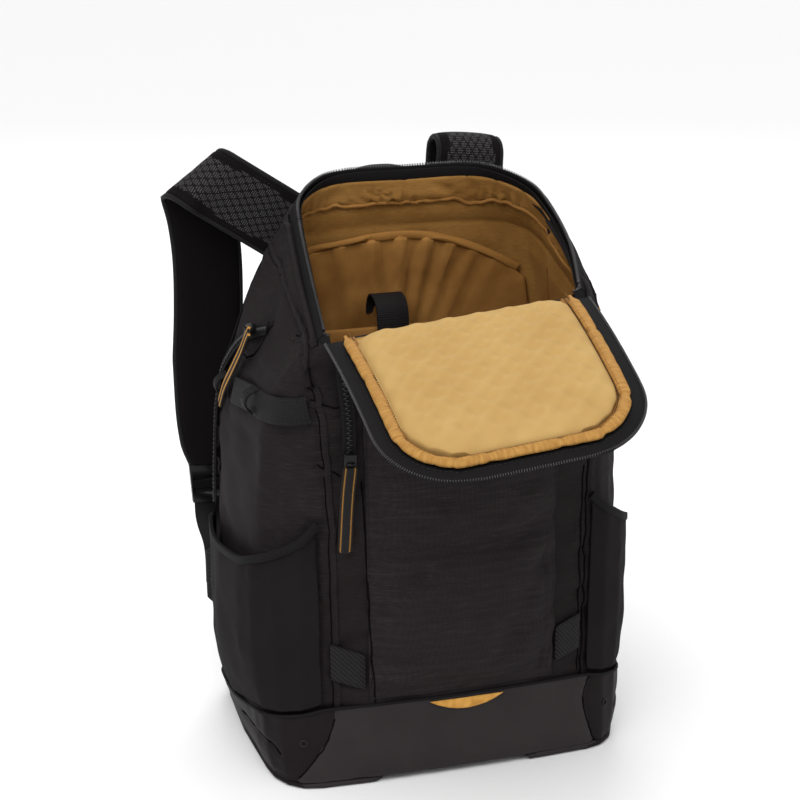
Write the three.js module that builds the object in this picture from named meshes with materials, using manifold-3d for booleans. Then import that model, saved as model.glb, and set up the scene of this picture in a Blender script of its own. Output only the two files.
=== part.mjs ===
// Camera backpack with its padded lid folded open over the front.
// Millimetres, +Z up, front towards -Y, wearer's side towards +Y.
import * as THREE from 'three';
import { mergeVertices } from 'three/addons/utils/BufferGeometryUtils.js';
import Module from 'manifold-3d';

const wasm = await Module();
wasm.setup();

// Driving dimensions of the body
const bodyWidth = 304;        // side to side over the shell, without the pockets
const bodyDepth = 212;        // front face to back face
const bodyHeight = 450;       // floor to the back of the mouth
const shellWall = 5;          // padded cloth of the body
const liningWall = 1.2;
const seamGap = 0.4;          // clearance between two sewn pieces
const frontCrown = 4;         // outward swell of the front face
const sideCrown = 3;
const mouthLean = 14;         // how far the open mouth leans to the right
const hingeTilt = 9;          // how far each end of the hinge lies off level

// Driving dimensions of the sewn-on pieces
const bootWall = 2;
const bootFloor = 2.6;         // its feet fill what is left down to the ground
const footGap = 0.3;
const footInner = 52;         // half the arch between the two feet
const footSlope = 12;
const frontPocketSwell = 6;
const clothWall = 2;
const pocketSwells = { left: 11, right: 7 };   // how far each side pocket stands off the shell
const tapeWidth = 11;
const tapeThickness = 1.6;
const teethWidth = 5;
const teethHeight = 3;
const webbingWidth = 21;
const webbingThickness = 1.8;
const loopRise = 7;
const patchWidth = 30;
const patchHeight = 80;
const patchSlope = 45;        // rise of a patch towards the side, for one station
const patchThickness = 2.2;
const zipLift = 0.9;
const webbingLift = 1.2;
const sliderThickness = 4.4;
const sliderBevel = 0.7;
const sliderCrest = zipLift + tapeThickness + teethHeight / 2 + seamGap + sliderThickness;
const pullWidth = 9;
const pullThickness = 2.2;
const pullLift = 4.6;          // how far a pull hangs off the cloth
const sidePullLength = 70;
const frontPullLength = 70;
const tabHalfWidth = 31;
const tabDrop = 9;
const tabInset = 2.5;
const tabThickness = 1.2;
const pocketMouthFront = 222;
const pocketMouthBack = 166;
const pocketMouthSag = 9;
const webbingHeight = 304;

// Driving dimensions of the lid
const lidLength = 184;
const lidHalfWidth = 93;
const lidTaper = 7;            // narrowing of each side from the hinge to the tip
const lidSkew = -7;           // drift of the tip to the left
const lidCorner = 46;
const lidDroopStart = 0.16;   // radians below level, at the hinge
const lidDroopEnd = 0.4;
const lidShellWall = 3;
const lidPad = 9;
const quiltDepth = 2.4;
const quiltPitch = 24;
const quiltShoulder = 10;      // how far in from its edge the pad reaches its full height
const bindingRadius = 4.2;
const lidPadInset = 16;
const lidPadStart = 9;
const hingeRise = lidShellWall + 1.2;    // the folded cloth lies over the front of the rim

// Driving dimensions inside
const sleeveGap = 26;         // room for a computer behind the divider
const sleeveWall = 6;
const sleeveTop = 326;
const closureRise = 22;       // crest of the hook-and-loop tab above the divider
const pouchGap = 10;
const pouchWall = 4;
const pouchTop = 392;
const pouchLeft = 376;
const pouchRight = 352;
const innerBindingRadius = 2.6;
const closureWidth = 27;
const closureX = -6;
const innerClearance = 3.5;    // between the lining's sides and a loose wall

// Driving dimensions of the carrying side
const padThickness = 9;
const strapWidth = 58;
const strapThickness = 8;
const strapRoll = 15;         // radius of the strap's roll over its top
const strapWebbingWidth = 22;
const lockWidth = 30;
const lockHeight = 34;
const lockThickness = 5;
const lockSlot = 3.4;
// Where the padded strap gives way to webbing, and the upper edge of the webbing's lower seat.
const lowerEnd = { x: bodyWidth / 2 - 9, y: bodyDepth / 2 + 18, z: 196 };
const anchorAt = { x: bodyWidth / 2 - 6, y: bodyDepth / 2 - 5, z: 112 };
const anchorHeight = 44;
const anchorThickness = 2.2;
const handleSpan = 74;
const handleRise = 27;
const handleWidth = 13;
const handleThickness = 9;
const handleSpring = 8;       // how far the handle springs back from the cloth

const group = new THREE.Group();

function finish(color, roughness, metalness = 0) {
  return new THREE.MeshStandardMaterial({ color, roughness, metalness });
}

const blackCloth = finish(0x262425, 0.85);
const linerCloth = finish(0xb5812f, 0.8);
const quiltCloth = finish(0xd1aa68, 0.8);
const coatedCloth = finish(0x383536, 0.6);
const blackWebbing = finish(0x161415, 0.75);
const zipTeeth = finish(0x3a3a3c, 0.4, 0.6);
const orangeWeave = finish(0xd98f2e, 0.7);
const strapCloth = finish(0x1a1718, 0.8);
const blackPlastic = finish(0x141414, 0.45);

function place(name, geometry, material) {
  const mesh = new THREE.Mesh(geometry, material);
  mesh.name = name;
  group.add(mesh);
  return mesh;
}

// Cross-sections of the body from the floor up. Heights are shares of bodyHeight, side and seam are
// half-widths as shares of bodyWidth, the rest are shares of bodyDepth.
const lengthOf = {
  front: bodyHeight, back: bodyHeight, side: bodyWidth, seam: bodyWidth,
  toe: bodyDepth, heel: bodyDepth, corner: bodyDepth, round: bodyDepth,
};
const columns = Object.keys(lengthOf);
const sections = {
  under: [0.020, 0.020, 0.474, 0.372, -0.508, 0.455, 0.190, 0.12],
  sole: [0.050, 0.050, 0.490, 0.362, -0.512, 0.470, 0.210, 0.12],
  boot: [0.149, 0.149, 0.500, 0.349, -0.500, 0.481, 0.230, 0.12],
  pocket: [0.333, 0.333, 0.500, 0.352, -0.492, 0.481, 0.250, 0.13],
  chest: [0.578, 0.578, 0.490, 0.359, -0.486, 0.481, 0.250, 0.14],
  arm: [0.711, 0.729, 0.454, 0.368, -0.486, 0.481, 0.160, 0.16],
  shoulder: [0.782, 0.884, 0.405, 0.372, -0.481, 0.462, 0.075, 0.20],
  mouth: [0.824, 1.000, 0.352, 0.319, -0.453, 0.396, 0.055, 0.27],
};
const sectionRows = Object.values(sections);
const columnCurves = Object.fromEntries(columns.map((column, n) => [
  column, new THREE.SplineCurve(sectionRows.map((row, i) => new THREE.Vector2(i, row[n]))),
]));
const topLevel = sectionRows.length - 1;
const bootLevel = 2;
const armLevel = 5;
const rimLevel = 6.8;

// Stations round a section: 0 front middle, 1 front seam, 2 side front, 3 side back, 4 back corner,
// 5 back middle. They are negative on the left.
function hull(station, level) {
  const t = THREE.MathUtils.clamp(level / topLevel, 0, 1);
  const q = {};
  for (const column of columns) {
    q[column] = columnCurves[column].getPoint(t).y * lengthOf[column];
  }
  const wrapped = station > 5 ? station - 10 : station;
  const way = wrapped < 0 ? -1 : 1;
  const s = Math.abs(wrapped);
  let x = 0;
  let y = 0;
  if (s <= 1) {
    x = q.seam * s;
    y = q.toe - frontCrown * (1 - s * s);
  } else if (s <= 2) {
    const a = (s - 1) * Math.PI / 2;
    x = q.seam + (q.side - q.seam) * Math.sin(a);
    y = q.toe + q.corner * (1 - Math.cos(a));
  } else if (s <= 3) {
    x = q.side + sideCrown * Math.sin((s - 2) * Math.PI);
    y = THREE.MathUtils.lerp(q.toe + q.corner, q.heel - q.round, s - 2);
  } else if (s <= 4) {
    const a = (s - 3) * Math.PI / 2;
    x = q.side - q.round * (1 - Math.cos(a));
    y = q.heel - q.round * (1 - Math.sin(a));
  } else {
    x = (q.side - q.round) * (5 - s);
    y = q.heel;
  }
  const back = THREE.MathUtils.clamp((y - q.toe) / (q.heel - q.toe), 0, 1);
  const open = THREE.MathUtils.smoothstep(level, armLevel - 1, topLevel);
  const lean = mouthLean * open * Math.sin(Math.min(back * 1.4, 1) * Math.PI / 2);
  const tilt = hingeTilt * open * (1 - back) * way * x / q.seam;
  return new THREE.Vector3(way * x + lean, y, THREE.MathUtils.lerp(q.front, q.back, back) + tilt);
}

const halfStations = [0, 0.33, 0.67, 1, 1.25, 1.5, 1.75, 2, 2.5, 3, 3.33, 3.67, 4, 5];
const stations = [...halfStations.slice(1, -1).reverse().map((s) => -s), ...halfStations];
const levels = [0, 0.5, 1, 1.5, 2, 2.5, 3, 3.5, 4, 4.5, 5, 5.5, 6, 6.4, rimLevel, topLevel];

function hullNormal(station, level) {
  const step = 0.02;
  const up = Math.min(level + step, topLevel);
  const down = Math.max(level - step, 0);
  const along = hull(station + step, level).sub(hull(station - step, level));
  const rise = hull(station, up).sub(hull(station, down));
  return along.cross(rise).normalize();
}

const corners = levels.map((k) => stations.map((s) => ({ at: hull(s, k), out: hullNormal(s, k) })));

function cell(list, value) {
  let i = 0;
  while (i < list.length - 2 && value >= list[i + 1]) {
    i += 1;
  }
  return [i, (value - list[i]) / (list[i + 1] - list[i])];
}

// A point on the faceted body at a station and level, moved outwards by off.
function face(station, level, off = 0) {
  const s = station > 5 ? station - 10 : station;
  const [j, v] = cell(levels, THREE.MathUtils.clamp(level, 0, topLevel));
  const ring = [...stations, 5.5];
  const wrapped = s < stations[0] ? s + 10 : s;
  const count = stations.length;
  let i;
  let u;
  if (wrapped > 5) {
    i = count - 1;
    u = (wrapped - 5) / (10 + stations[0] - 5);
  } else {
    [i, u] = cell(ring.slice(0, count), wrapped);
  }
  const next = (i + 1) % count;
  const low = corners[j][i].at.clone().lerp(corners[j][next].at, u);
  const high = corners[j + 1][i].at.clone().lerp(corners[j + 1][next].at, u);
  const outLow = corners[j][i].out.clone().lerp(corners[j][next].out, u);
  const outHigh = corners[j + 1][i].out.clone().lerp(corners[j + 1][next].out, u);
  return low.lerp(high, v).addScaledVector(outLow.lerp(outHigh, v).normalize(), off);
}

function levelAt(station, height) {
  let low = 0;
  let high = topLevel;
  for (let i = 0; i < 30; i += 1) {
    const middle = (low + high) / 2;
    if (face(station, middle).z < height) {
      low = middle;
    } else {
      high = middle;
    }
  }
  return (low + high) / 2;
}

// One closed solid from points and triangles: doubles merged, slivers dropped, faces turned outwards.
function solid(points, triangles) {
  const raw = new THREE.BufferGeometry();
  raw.setAttribute('position', new THREE.Float32BufferAttribute(points.flatMap((p) => p.toArray()), 3));
  raw.setIndex(triangles);
  const merged = mergeVertices(raw, 1e-4);
  const position = merged.getAttribute('position');
  const a = new THREE.Vector3();
  const b = new THREE.Vector3();
  const c = new THREE.Vector3();
  const kept = [];
  let volume = 0;
  for (let i = 0; i < merged.index.count; i += 3) {
    const [p, q, r] = [0, 1, 2].map((n) => merged.index.getX(i + n));
    if (p !== q && q !== r && r !== p) {
      a.fromBufferAttribute(position, p);
      b.fromBufferAttribute(position, q);
      c.fromBufferAttribute(position, r);
      volume += a.dot(b.cross(c));
      kept.push(p, q, r);
    }
  }
  merged.setIndex(volume < 0 ? kept.reverse() : kept);
  return merged;
}

// Rings of equal length joined one to the next. The ends are closed by a fan, or joined to each other.
function loft(rings, endless = false) {
  const count = rings[0].length;
  const points = rings.flat();
  const triangles = [];
  const rows = endless ? rings.length : rings.length - 1;
  for (let j = 0; j < rows; j += 1) {
    for (let i = 0; i < count; i += 1) {
      const n = (i + 1) % count;
      const above = (j + 1) % rings.length;
      const [p, q, r, s] = [j * count + i, j * count + n, above * count + n, above * count + i];
      triangles.push(p, q, r, p, r, s);
    }
  }
  if (!endless) {
    for (const [j, flip] of [[0, true], [rings.length - 1, false]]) {
      const middle = points.length;
      const sum = rings[j].reduce((total, p) => total.add(p), new THREE.Vector3());
      points.push(sum.divideScalar(count));
      for (let i = 0; i < count; i += 1) {
        const edge = [j * count + i, j * count + (i + 1) % count];
        triangles.push(middle, ...(flip ? edge.reverse() : edge));
      }
    }
  }
  return solid(points, triangles);
}

// A sheet between two grids of points with the same rows and columns.
function sheet(lower, upper) {
  const rows = lower.length;
  const count = lower[0].length;
  const points = [...lower.flat(), ...upper.flat()];
  const top = rows * count;
  const triangles = [];
  for (let j = 0; j < rows - 1; j += 1) {
    for (let i = 0; i < count - 1; i += 1) {
      const [p, q, r, s] = [j * count + i, j * count + i + 1, (j + 1) * count + i + 1, (j + 1) * count + i];
      triangles.push(p, r, q, p, s, r, top + p, top + q, top + r, top + p, top + r, top + s);
    }
  }
  const rim = [];
  for (let i = 0; i < count - 1; i += 1) {
    rim.push([i, i + 1], [(rows - 1) * count + i + 1, (rows - 1) * count + i]);
  }
  for (let j = 0; j < rows - 1; j += 1) {
    rim.push([(j + 1) * count, j * count], [j * count + count - 1, (j + 1) * count + count - 1]);
  }
  for (const [p, q] of rim) {
    triangles.push(p, q, top + q, p, top + q, top + p);
  }
  return solid(points, triangles);
}

function between(list, from, to, extra = []) {
  const inner = [...list, ...extra].filter((v) => v > from + 1e-6 && v < to - 1e-6);
  return [...new Set([from, ...inner, to])].sort((a, b) => a - b);
}

// A sewn patch that follows the body: lines of stations and levels, cut off at bottom(s) and top(s).
function patch({ from, to, bottom, top, inner, outer, columnsAdded = [], rowsAdded = [] }) {
  const across = between(stations, from, to, columnsAdded);
  const lows = across.map(bottom);
  const highs = across.map(top);
  const up = between(levels, Math.min(...lows), Math.max(...highs), rowsAdded);
  const grid = (off) => up.map((k) => across.map((s, i) => {
    const level = THREE.MathUtils.clamp(k, lows[i], highs[i]);
    return face(s, level, off(s, level));
  }));
  return sheet(grid(inner), grid(outer));
}

// A band swept along a path of points with an outward direction at each. The section is a list of
// [across, outwards] places.
function ribbon(path, section) {
  return loft(path.map(({ at, out }, i) => {
    const before = path[Math.max(i - 1, 0)].at;
    const after = path[Math.min(i + 1, path.length - 1)].at;
    const along = after.clone().sub(before).normalize();
    const n = out.clone().addScaledVector(along, -out.dot(along)).normalize();
    const wide = along.clone().cross(n);
    return section.map(([u, v]) => at.clone().addScaledVector(wide, u).addScaledVector(n, v));
  }));
}

function strip(path, width, thickness) {
  const half = width / 2;
  return ribbon(path, [[-half, 0], [half, 0], [half, thickness], [-half, thickness]]);
}

// A path on the body through a few marks of station and height, the height as a share of bodyHeight.
function bodyPath(marks, steps, off) {
  const evenness = 4.5;
  const curve = new THREE.CatmullRomCurve3(marks.map(([s, z]) => new THREE.Vector3(s, z * evenness, 0)));
  return curve.getPoints(steps).map((p) => {
    const level = levelAt(p.x, p.y / evenness * bodyHeight);
    const at = face(p.x, level, off);
    return { at, out: at.clone().sub(face(p.x, level, off - 1)) };
  });
}

function toManifold(geometry) {
  const bare = geometry.clone();
  bare.deleteAttribute('normal');
  bare.deleteAttribute('uv');
  const merged = mergeVertices(bare);
  return new wasm.Manifold(new wasm.Mesh({
    numProp: 3,
    vertProperties: new Float32Array(merged.getAttribute('position').array),
    triVerts: new Uint32Array(merged.index.array),
  }));
}

function fromManifold(body) {
  const mesh = body.getMesh();
  const geometry = new THREE.BufferGeometry();
  geometry.setAttribute('position', new THREE.Float32BufferAttribute(mesh.vertProperties, 3));
  geometry.setIndex(Array.from(mesh.triVerts));
  return geometry;
}

function shrink(ring, share, height) {
  const middle = ring.reduce((sum, p) => sum.add(p), new THREE.Vector3()).divideScalar(ring.length);
  return ring.map((p) => new THREE.Vector3(
    THREE.MathUtils.lerp(middle.x, p.x, share), THREE.MathUtils.lerp(middle.y, p.y, share), height));
}

const ringAt = (level, off) => stations.map((s) => face(s, level, off));

// The padded body: one hollow shell with a floor, open at the slanted mouth.
function buildShell() {
  const rising = levels.filter((k) => k <= rimLevel);
  const outer = rising.map((k) => ringAt(k, 0));
  const floor = outer[0][0].z;
  const inner = rising.slice(1).reverse().map((k) => ringAt(k, -shellWall));
  const innerFloor = inner[inner.length - 1];
  return loft([
    shrink(outer[0], 0.5, floor), ...outer, ...inner, shrink(innerFloor, 0.5, floor + shellWall),
  ]);
}
place('bag_shell', buildShell(), blackCloth);

// The lining is a loose tan skin, a seam's clearance inside the shell.
function buildLining() {
  const outerOff = -(shellWall + seamGap);
  const innerOff = outerOff - liningWall;
  const rising = levels.filter((k) => k >= 1 && k <= rimLevel);
  const inner = rising.map((k) => ringAt(k, innerOff));
  const outer = rising.slice().reverse().map((k) => ringAt(k, outerOff));
  const underside = outer[outer.length - 1];
  const floor = underside.reduce((low, p) => Math.min(low, p.z), Infinity);
  return loft([
    shrink(inner[0], 0.5, floor + liningWall), ...inner, ...outer, shrink(underside, 0.5, floor),
  ]);
}
place('lining', buildLining(), linerCloth);

// The coated boot: high in front, low at the back, with a foot under each side.
const bootTopFront = bootLevel;
const bootTopSide = 1.72;
const bootTopBack = 0.95;
function bootTop(station) {
  const s = Math.abs(station > 5 ? station - 10 : station);
  if (s <= 1) {
    return bootTopFront;
  }
  if (s <= 2) {
    return THREE.MathUtils.lerp(bootTopFront, bootTopSide, s - 1);
  }
  return THREE.MathUtils.lerp(bootTopSide, bootTopBack, THREE.MathUtils.smoothstep(s, 2, 3));
}

const bootRise = levels.filter((k) => k <= bootLevel);
const bootTopZ = face(0, 0).z - seamGap;
const bootBottomZ = bootTopZ - bootFloor;
const bootRows = (off) => bootRise.map((k) => stations.map((s) => face(s, Math.min(k, bootTop(s)), off)));
const flatRing = (ring, z) => ring.map((p) => new THREE.Vector3(p.x, p.y, z));

function buildBoot() {
  const outer = bootRows(seamGap + bootWall).reverse();
  const inner = bootRows(seamGap);
  const innerBase = flatRing(inner[0], bootTopZ);
  const outerBase = flatRing(outer[outer.length - 1], bootBottomZ);
  return loft([
    shrink(innerBase, 0.5, bootTopZ), innerBase, ...inner,
    ...outer, outerBase, shrink(outerBase, 0.5, bootBottomZ),
  ]);
}
place('base_boot', buildBoot(), coatedCloth);

// Two moulded feet under the boot, with a low arch between them.
function buildFeet() {
  const outline = bootRows(seamGap + bootWall)[0];
  const top = bootBottomZ - footGap;
  const sole = loft([shrink(outline, 0.985, 0), flatRing(outline, top * 0.4), flatRing(outline, top)]);
  const arch = new THREE.Shape([
    new THREE.Vector2(-footInner - footSlope, -1), new THREE.Vector2(footInner + footSlope, -1),
    new THREE.Vector2(footInner, bootTopZ), new THREE.Vector2(-footInner, bootTopZ),
  ]);
  const archBar = new THREE.ExtrudeGeometry(arch, { depth: bodyDepth * 1.4, bevelEnabled: false });
  archBar.rotateX(Math.PI / 2).translate(0, bodyDepth * 0.7, 0);
  const feet = toManifold(sole).subtract(toManifold(archBar)).decompose();
  return feet.sort((a, b) => a.boundingBox().min[0] - b.boundingBox().min[0]).map(fromManifold);
}
const [leftFoot, rightFoot] = buildFeet();
place('foot_left', leftFoot, coatedCloth);
place('foot_right', rightFoot, coatedCloth);

// The half-moon tab sewn into the boot's front edge.
function buildTab() {
  const middle = face(0, bootLevel);
  const across = [-1, -0.75, -0.5, -0.25, 0, 0.25, 0.5, 0.75, 1];
  const off = seamGap * 2 + bootWall;
  const seam = face(1, bootLevel).x;
  const centre = 0.06;
  const grid = (lift) => [0, 0.5, 1].map((row) => across.map((u) => {
    const s = centre + u * tabHalfWidth / seam;
    const drop = tabDrop * row * (1 - u * u);
    return face(s, levelAt(s, middle.z - tabInset - drop), off + lift);
  }));
  return sheet(grid(0), grid(tabThickness));
}
place('accent_tab', buildTab(), orangeWeave);

// The flat front pocket: a padded panel that swells and dents over the lower half.
const frontPocketLeft = -0.68;
const frontPocketRight = 0.74;
const frontPocketTopLevel = 6.15;
const pocketDents = [
  { across: -0.35, level: 2.55, width: 0.22, height: 0.14, slope: 0.10, depth: -0.45 },
  { across: 0.30, level: 2.95, width: 0.30, height: 0.12, slope: -0.16, depth: -0.35 },
  { across: 0.05, level: 3.60, width: 0.40, height: 0.16, slope: 0.12, depth: 0.30 },
];
function frontSwell(s, k) {
  const u = (s - frontPocketLeft) / (frontPocketRight - frontPocketLeft);
  const v = THREE.MathUtils.clamp((k - bootLevel) / (frontPocketTopLevel - bootLevel), 0, 1);
  const across = Math.sqrt(Math.sin(Math.PI * THREE.MathUtils.clamp(u, 0, 1)));
  let swell = across * Math.sin(Math.PI * Math.sqrt(v));
  for (const dent of pocketDents) {
    const du = (s - dent.across) / dent.width;
    const dk = (k - dent.level - dent.slope * du) / dent.height;
    swell += dent.depth * Math.exp(-du * du - dk * dk);
  }
  return clothWall + frontPocketSwell * Math.max(swell, 0);
}
place('front_pocket', patch({
  from: frontPocketLeft, to: frontPocketRight,
  bottom: () => bootLevel + 0.06, top: () => frontPocketTopLevel,
  inner: () => seamGap, outer: (s, k) => seamGap + frontSwell(s, k),
  columnsAdded: [-0.5, -0.15, 0.15, 0.5], rowsAdded: [2.25, 2.75, 3.25, 3.75],
}), blackCloth);

// Zips: a woven tape with the closed teeth standing along its middle, as one body.
function zipBody(path) {
  const halfTape = tapeWidth / 2;
  const halfTeeth = teethWidth / 2;
  const crest = tapeThickness + teethHeight / 2;
  const section = [
    [-halfTape, 0], [halfTape, 0], [halfTape, tapeThickness], [halfTeeth, tapeThickness],
    [halfTeeth, crest], [-halfTeeth, crest], [-halfTeeth, tapeThickness], [-halfTape, tapeThickness],
  ];
  return ribbon(path, section);
}

const frontZipMarks = [[-0.80, 0.573], [-0.78, 0.658], [-0.80, 0.767]];
const frontZip = bodyPath(frontZipMarks, 6, zipLift);
place('front_zip', zipBody(frontZip), zipTeeth);

// The side zip runs down behind the webbing's loops, so its upper marks follow the webbing.
const webbingShare = webbingHeight / bodyHeight;
const sideZipMarks = [
  [2.45, webbingShare + 0.106], [2.75, webbingShare + 0.062], [2.97, webbingShare - 0.009],
  [3.05, webbingShare - 0.094], [3.04, 0.478], [3.0, 0.400],
];
const edgeZipMarks = [[3.72, 0.862], [3.6, 0.778], [3.55, 0.707], [3.5, 0.633], [3.45, 0.533]];

// Stretch pockets: a thin wall that stands off the shell and stays open along its slanted mouth.
const pocketFront = 1.06;
const pocketBack = 3.1;
function pocketTop(s) {
  const u = (s - pocketFront) / (pocketBack - pocketFront);
  const sag = pocketMouthSag * Math.sin(Math.PI * u);
  return levelAt(s, THREE.MathUtils.lerp(pocketMouthFront, pocketMouthBack, Math.pow(u, 0.7)) - sag);
}
function pocketStand(s, k, swell) {
  const u = THREE.MathUtils.clamp((s - pocketFront) / (pocketBack - pocketFront), 0, 1);
  const low = bootTop(s) + 0.08;
  const v = THREE.MathUtils.clamp((k - low) / (pocketTop(s) - low), 0, 1);
  const across = Math.pow(Math.sin(Math.PI * Math.pow(u, 1.3)), 0.6);
  return Math.max(0, swell * across * Math.min(1, Math.sin(Math.PI * v * 0.62 + 0.05) * 1.15 - 0.06));
}
const sidePocket = (way, swell) => patch({
  from: way < 0 ? -pocketBack : pocketFront, to: way < 0 ? -pocketFront : pocketBack,
  bottom: (s) => bootTop(s) + 0.08, top: (s) => pocketTop(Math.abs(s)),
  inner: (s, k) => seamGap + pocketStand(Math.abs(s), k, swell),
  outer: (s, k) => seamGap + clothWall + pocketStand(Math.abs(s), k, swell),
  rowsAdded: [1.25, 1.75],
});

const loops = [
  { name: 'front', station: 2.12, drop: 0, base: webbingLift + webbingThickness + seamGap },
  { name: 'back', station: 2.86, drop: webbingWidth * 0.8, base: seamGap },
];

// A webbing strip sewn level round the side, and two loops that stand off it.
function sideWebbing(way) {
  const rows = [{ station: 1.12, rise: 0.4 }, { station: 1.6, rise: 0.2 }, { station: 2.1, rise: 0 },
    { station: 2.55, rise: -0.4 }];
  const marks = rows.map(({ station, rise }) => [
    way * station, (webbingHeight + rise * webbingWidth) / bodyHeight,
  ]);
  return strip(bodyPath(marks, 10, webbingLift), webbingWidth, webbingThickness);
}

function webbingLoop(station, height, base) {
  const level = levelAt(station, height);
  const at = face(station, level, base + webbingThickness / 2);
  const out = at.clone().sub(face(station, level, 0)).normalize();
  const along = new THREE.Vector3(0, 0, 1).cross(out).normalize();
  const down = along.clone().cross(out).normalize();
  const reach = webbingWidth * 0.9;
  const rows = [
    { drop: -1, rise: 0 }, { drop: -0.8, rise: 0.45 }, { drop: -0.3, rise: 1 }, { drop: 0.3, rise: 1 },
    { drop: 0.8, rise: 0.45 }, { drop: 1, rise: 0 },
  ];
  const path = rows.map(({ drop, rise }) => at.clone()
    .addScaledVector(down, drop * reach / 2).addScaledVector(out, rise * loopRise));
  const rings = path.map((p, i) => {
    const before = path[Math.max(i - 1, 0)];
    const after = path[Math.min(i + 1, path.length - 1)];
    const n = after.clone().sub(before).cross(along).normalize().multiplyScalar(webbingThickness / 2);
    const wide = along.clone().multiplyScalar(webbingWidth * 0.3);
    return [[-1, -1], [1, -1], [1, 1], [-1, 1]].map(([u, v]) => p.clone()
      .addScaledVector(wide, u).addScaledVector(n, v));
  });
  return loft(rings);
}

// A slider: a small rounded block on the teeth, with a neck for its pull.
function slider(at, out, along) {
  const shape = new THREE.Shape();
  const halfWidth = teethWidth * 0.85;
  const halfLength = teethWidth * 1.3;
  shape.moveTo(-halfWidth, -halfLength);
  shape.lineTo(halfWidth, -halfLength);
  shape.lineTo(halfWidth, halfLength * 0.4);
  shape.absarc(0, halfLength * 0.4, halfWidth, 0, Math.PI, false);
  const block = new THREE.ExtrudeGeometry(shape, {
    depth: sliderThickness - 2 * sliderBevel, bevelSize: sliderBevel, bevelThickness: sliderBevel,
    bevelSegments: 1, curveSegments: 5,
  });
  const n = out.clone().normalize();
  const t = along.clone().addScaledVector(n, -along.dot(n)).normalize();
  const frame = new THREE.Matrix4().makeBasis(new THREE.Vector3().crossVectors(t, n), t, n);
  frame.setPosition(at.clone().addScaledVector(n, sliderBevel));
  block.deleteAttribute('normal');
  block.deleteAttribute('uv');
  return mergeVertices(block.applyMatrix4(frame));
}

// A woven ribbon pull that hangs from a slider against the cloth below it.
function pull(station, height, drop, sway) {
  return strip([0, 0.1, 0.25, 0.5, 0.75, 1].map((share) => {
    const s = station + sway * share;
    const level = levelAt(s, height - drop * share);
    const lift = THREE.MathUtils.lerp(sliderCrest + seamGap * 3, pullLift, Math.min(1, share * 3));
    const at = face(s, level, lift);
    return { at, out: at.clone().sub(face(s, level, lift - 1)) };
  }), pullWidth, pullThickness);
}

function sliderOn(path, index) {
  const { at, out } = path[index];
  const n = out.clone().normalize();
  const crest = at.clone().addScaledVector(n, tapeThickness + teethHeight / 2 + seamGap);
  return slider(crest, n, path[index - 1].at.clone().sub(path[index + 1].at));
}

for (const [side, way] of [['left', -1], ['right', 1]]) {
  const at = (marks) => marks.map(([s, z]) => [way * s, z]);
  place(`side_pocket_${side}`, sidePocket(way, pocketSwells[side]), blackCloth);
  const sideZip = bodyPath(at(sideZipMarks), 12, zipLift);
  place(`side_zip_${side}`, zipBody(sideZip), zipTeeth);
  place(`edge_zip_${side}`, zipBody(bodyPath(at(edgeZipMarks), 9, zipLift * 1.4)), zipTeeth);
  place(`side_webbing_${side}`, sideWebbing(way), blackWebbing);
  for (const { name, station, drop, base } of loops) {
    const loop = webbingLoop(way * station, webbingHeight - drop, base);
    place(`webbing_loop_${name}_${side}`, loop, blackWebbing);
  }
  place(`side_slider_${side}`, sliderOn(sideZip, 1), blackPlastic);
  const [pullStation, pullShare] = sideZipMarks[0];
  const pullHeight = pullShare * bodyHeight - teethWidth * 1.4;
  place(`side_pull_${side}`,
    pull(way * (pullStation + 0.04), pullHeight, sidePullLength, way * 0.26), orangeWeave);
  const pocketEdge = way < 0 ? frontPocketLeft : frontPocketRight;
  const inboard = pocketEdge + way * 0.03;
  const outboard = way * 0.97;
  const low = (s) => levelAt(s, patchHeight + patchSlope * (Math.abs(s) - 0.7));
  const high = (s) => levelAt(s, patchHeight + patchWidth + patchSlope * (Math.abs(s) - 0.7));
  place(`base_patch_${side}`, patch({
    from: Math.min(inboard, outboard), to: Math.max(inboard, outboard), bottom: low, top: high,
    inner: () => seamGap, outer: () => seamGap + patchThickness,
  }), blackWebbing);
}

place('front_slider', sliderOn(frontZip, 1), blackPlastic);
const [frontPullStation, frontPullShare] = frontZipMarks[0];
const frontPullHeight = frontPullShare * bodyHeight + teethWidth * 2;
place('front_pull', pull(frontPullStation, frontPullHeight, frontPullLength, -0.05), orangeWeave);

// The zip round the mouth stands on the shell's rim, from one end of the hinge round to the other.
function buildRimZip() {
  const around = between([...stations.map((s) => (s < 0 ? s + 10 : s)), 5], 1.0, 9.0);
  const rings = around.map((s) => {
    const base = face(s, rimLevel, -shellWall / 2);
    const top = face(s, topLevel, -shellWall / 2);
    const rise = top.clone().sub(base).normalize();
    const out = face(s, rimLevel, 0).sub(base).normalize();
    const foot = base.clone().addScaledVector(rise, seamGap * 2);
    const neck = top;
    const crest = top.clone().addScaledVector(rise, teethHeight);
    const profile = [[foot, 1], [neck, 0.8], [crest, 1.2], [crest, -1.2], [neck, -0.8], [foot, -1]];
    return profile.map(([p, share]) => p.clone().addScaledVector(out, share * tapeThickness));
  });
  return loft(rings);
}
place('rim_zip', buildRimZip(), zipTeeth);

// The lid hangs forward from the hinge in a shallow curve. x runs along the hinge, l down the lid.
const hingeLine = { y: face(0, rimLevel).y, z: face(0, rimLevel).z };
function lidPoint(x, l, off = 0) {
  const bend = (lidDroopEnd - lidDroopStart) / lidLength;
  const angle = lidDroopStart + bend * l;
  const forward = (Math.sin(angle) - Math.sin(lidDroopStart)) / bend;
  const down = (Math.cos(lidDroopStart) - Math.cos(angle)) / bend;
  const along = l / lidLength;
  return new THREE.Vector3(
    x * (1 - lidTaper / lidHalfWidth * along) + lidSkew * along,
    hingeLine.y + shellWall / 2 - forward - off * Math.sin(angle),
    hingeLine.z + hingeRise + hingeTilt * x / lidHalfWidth - down + off * Math.cos(angle),
  );
}

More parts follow.
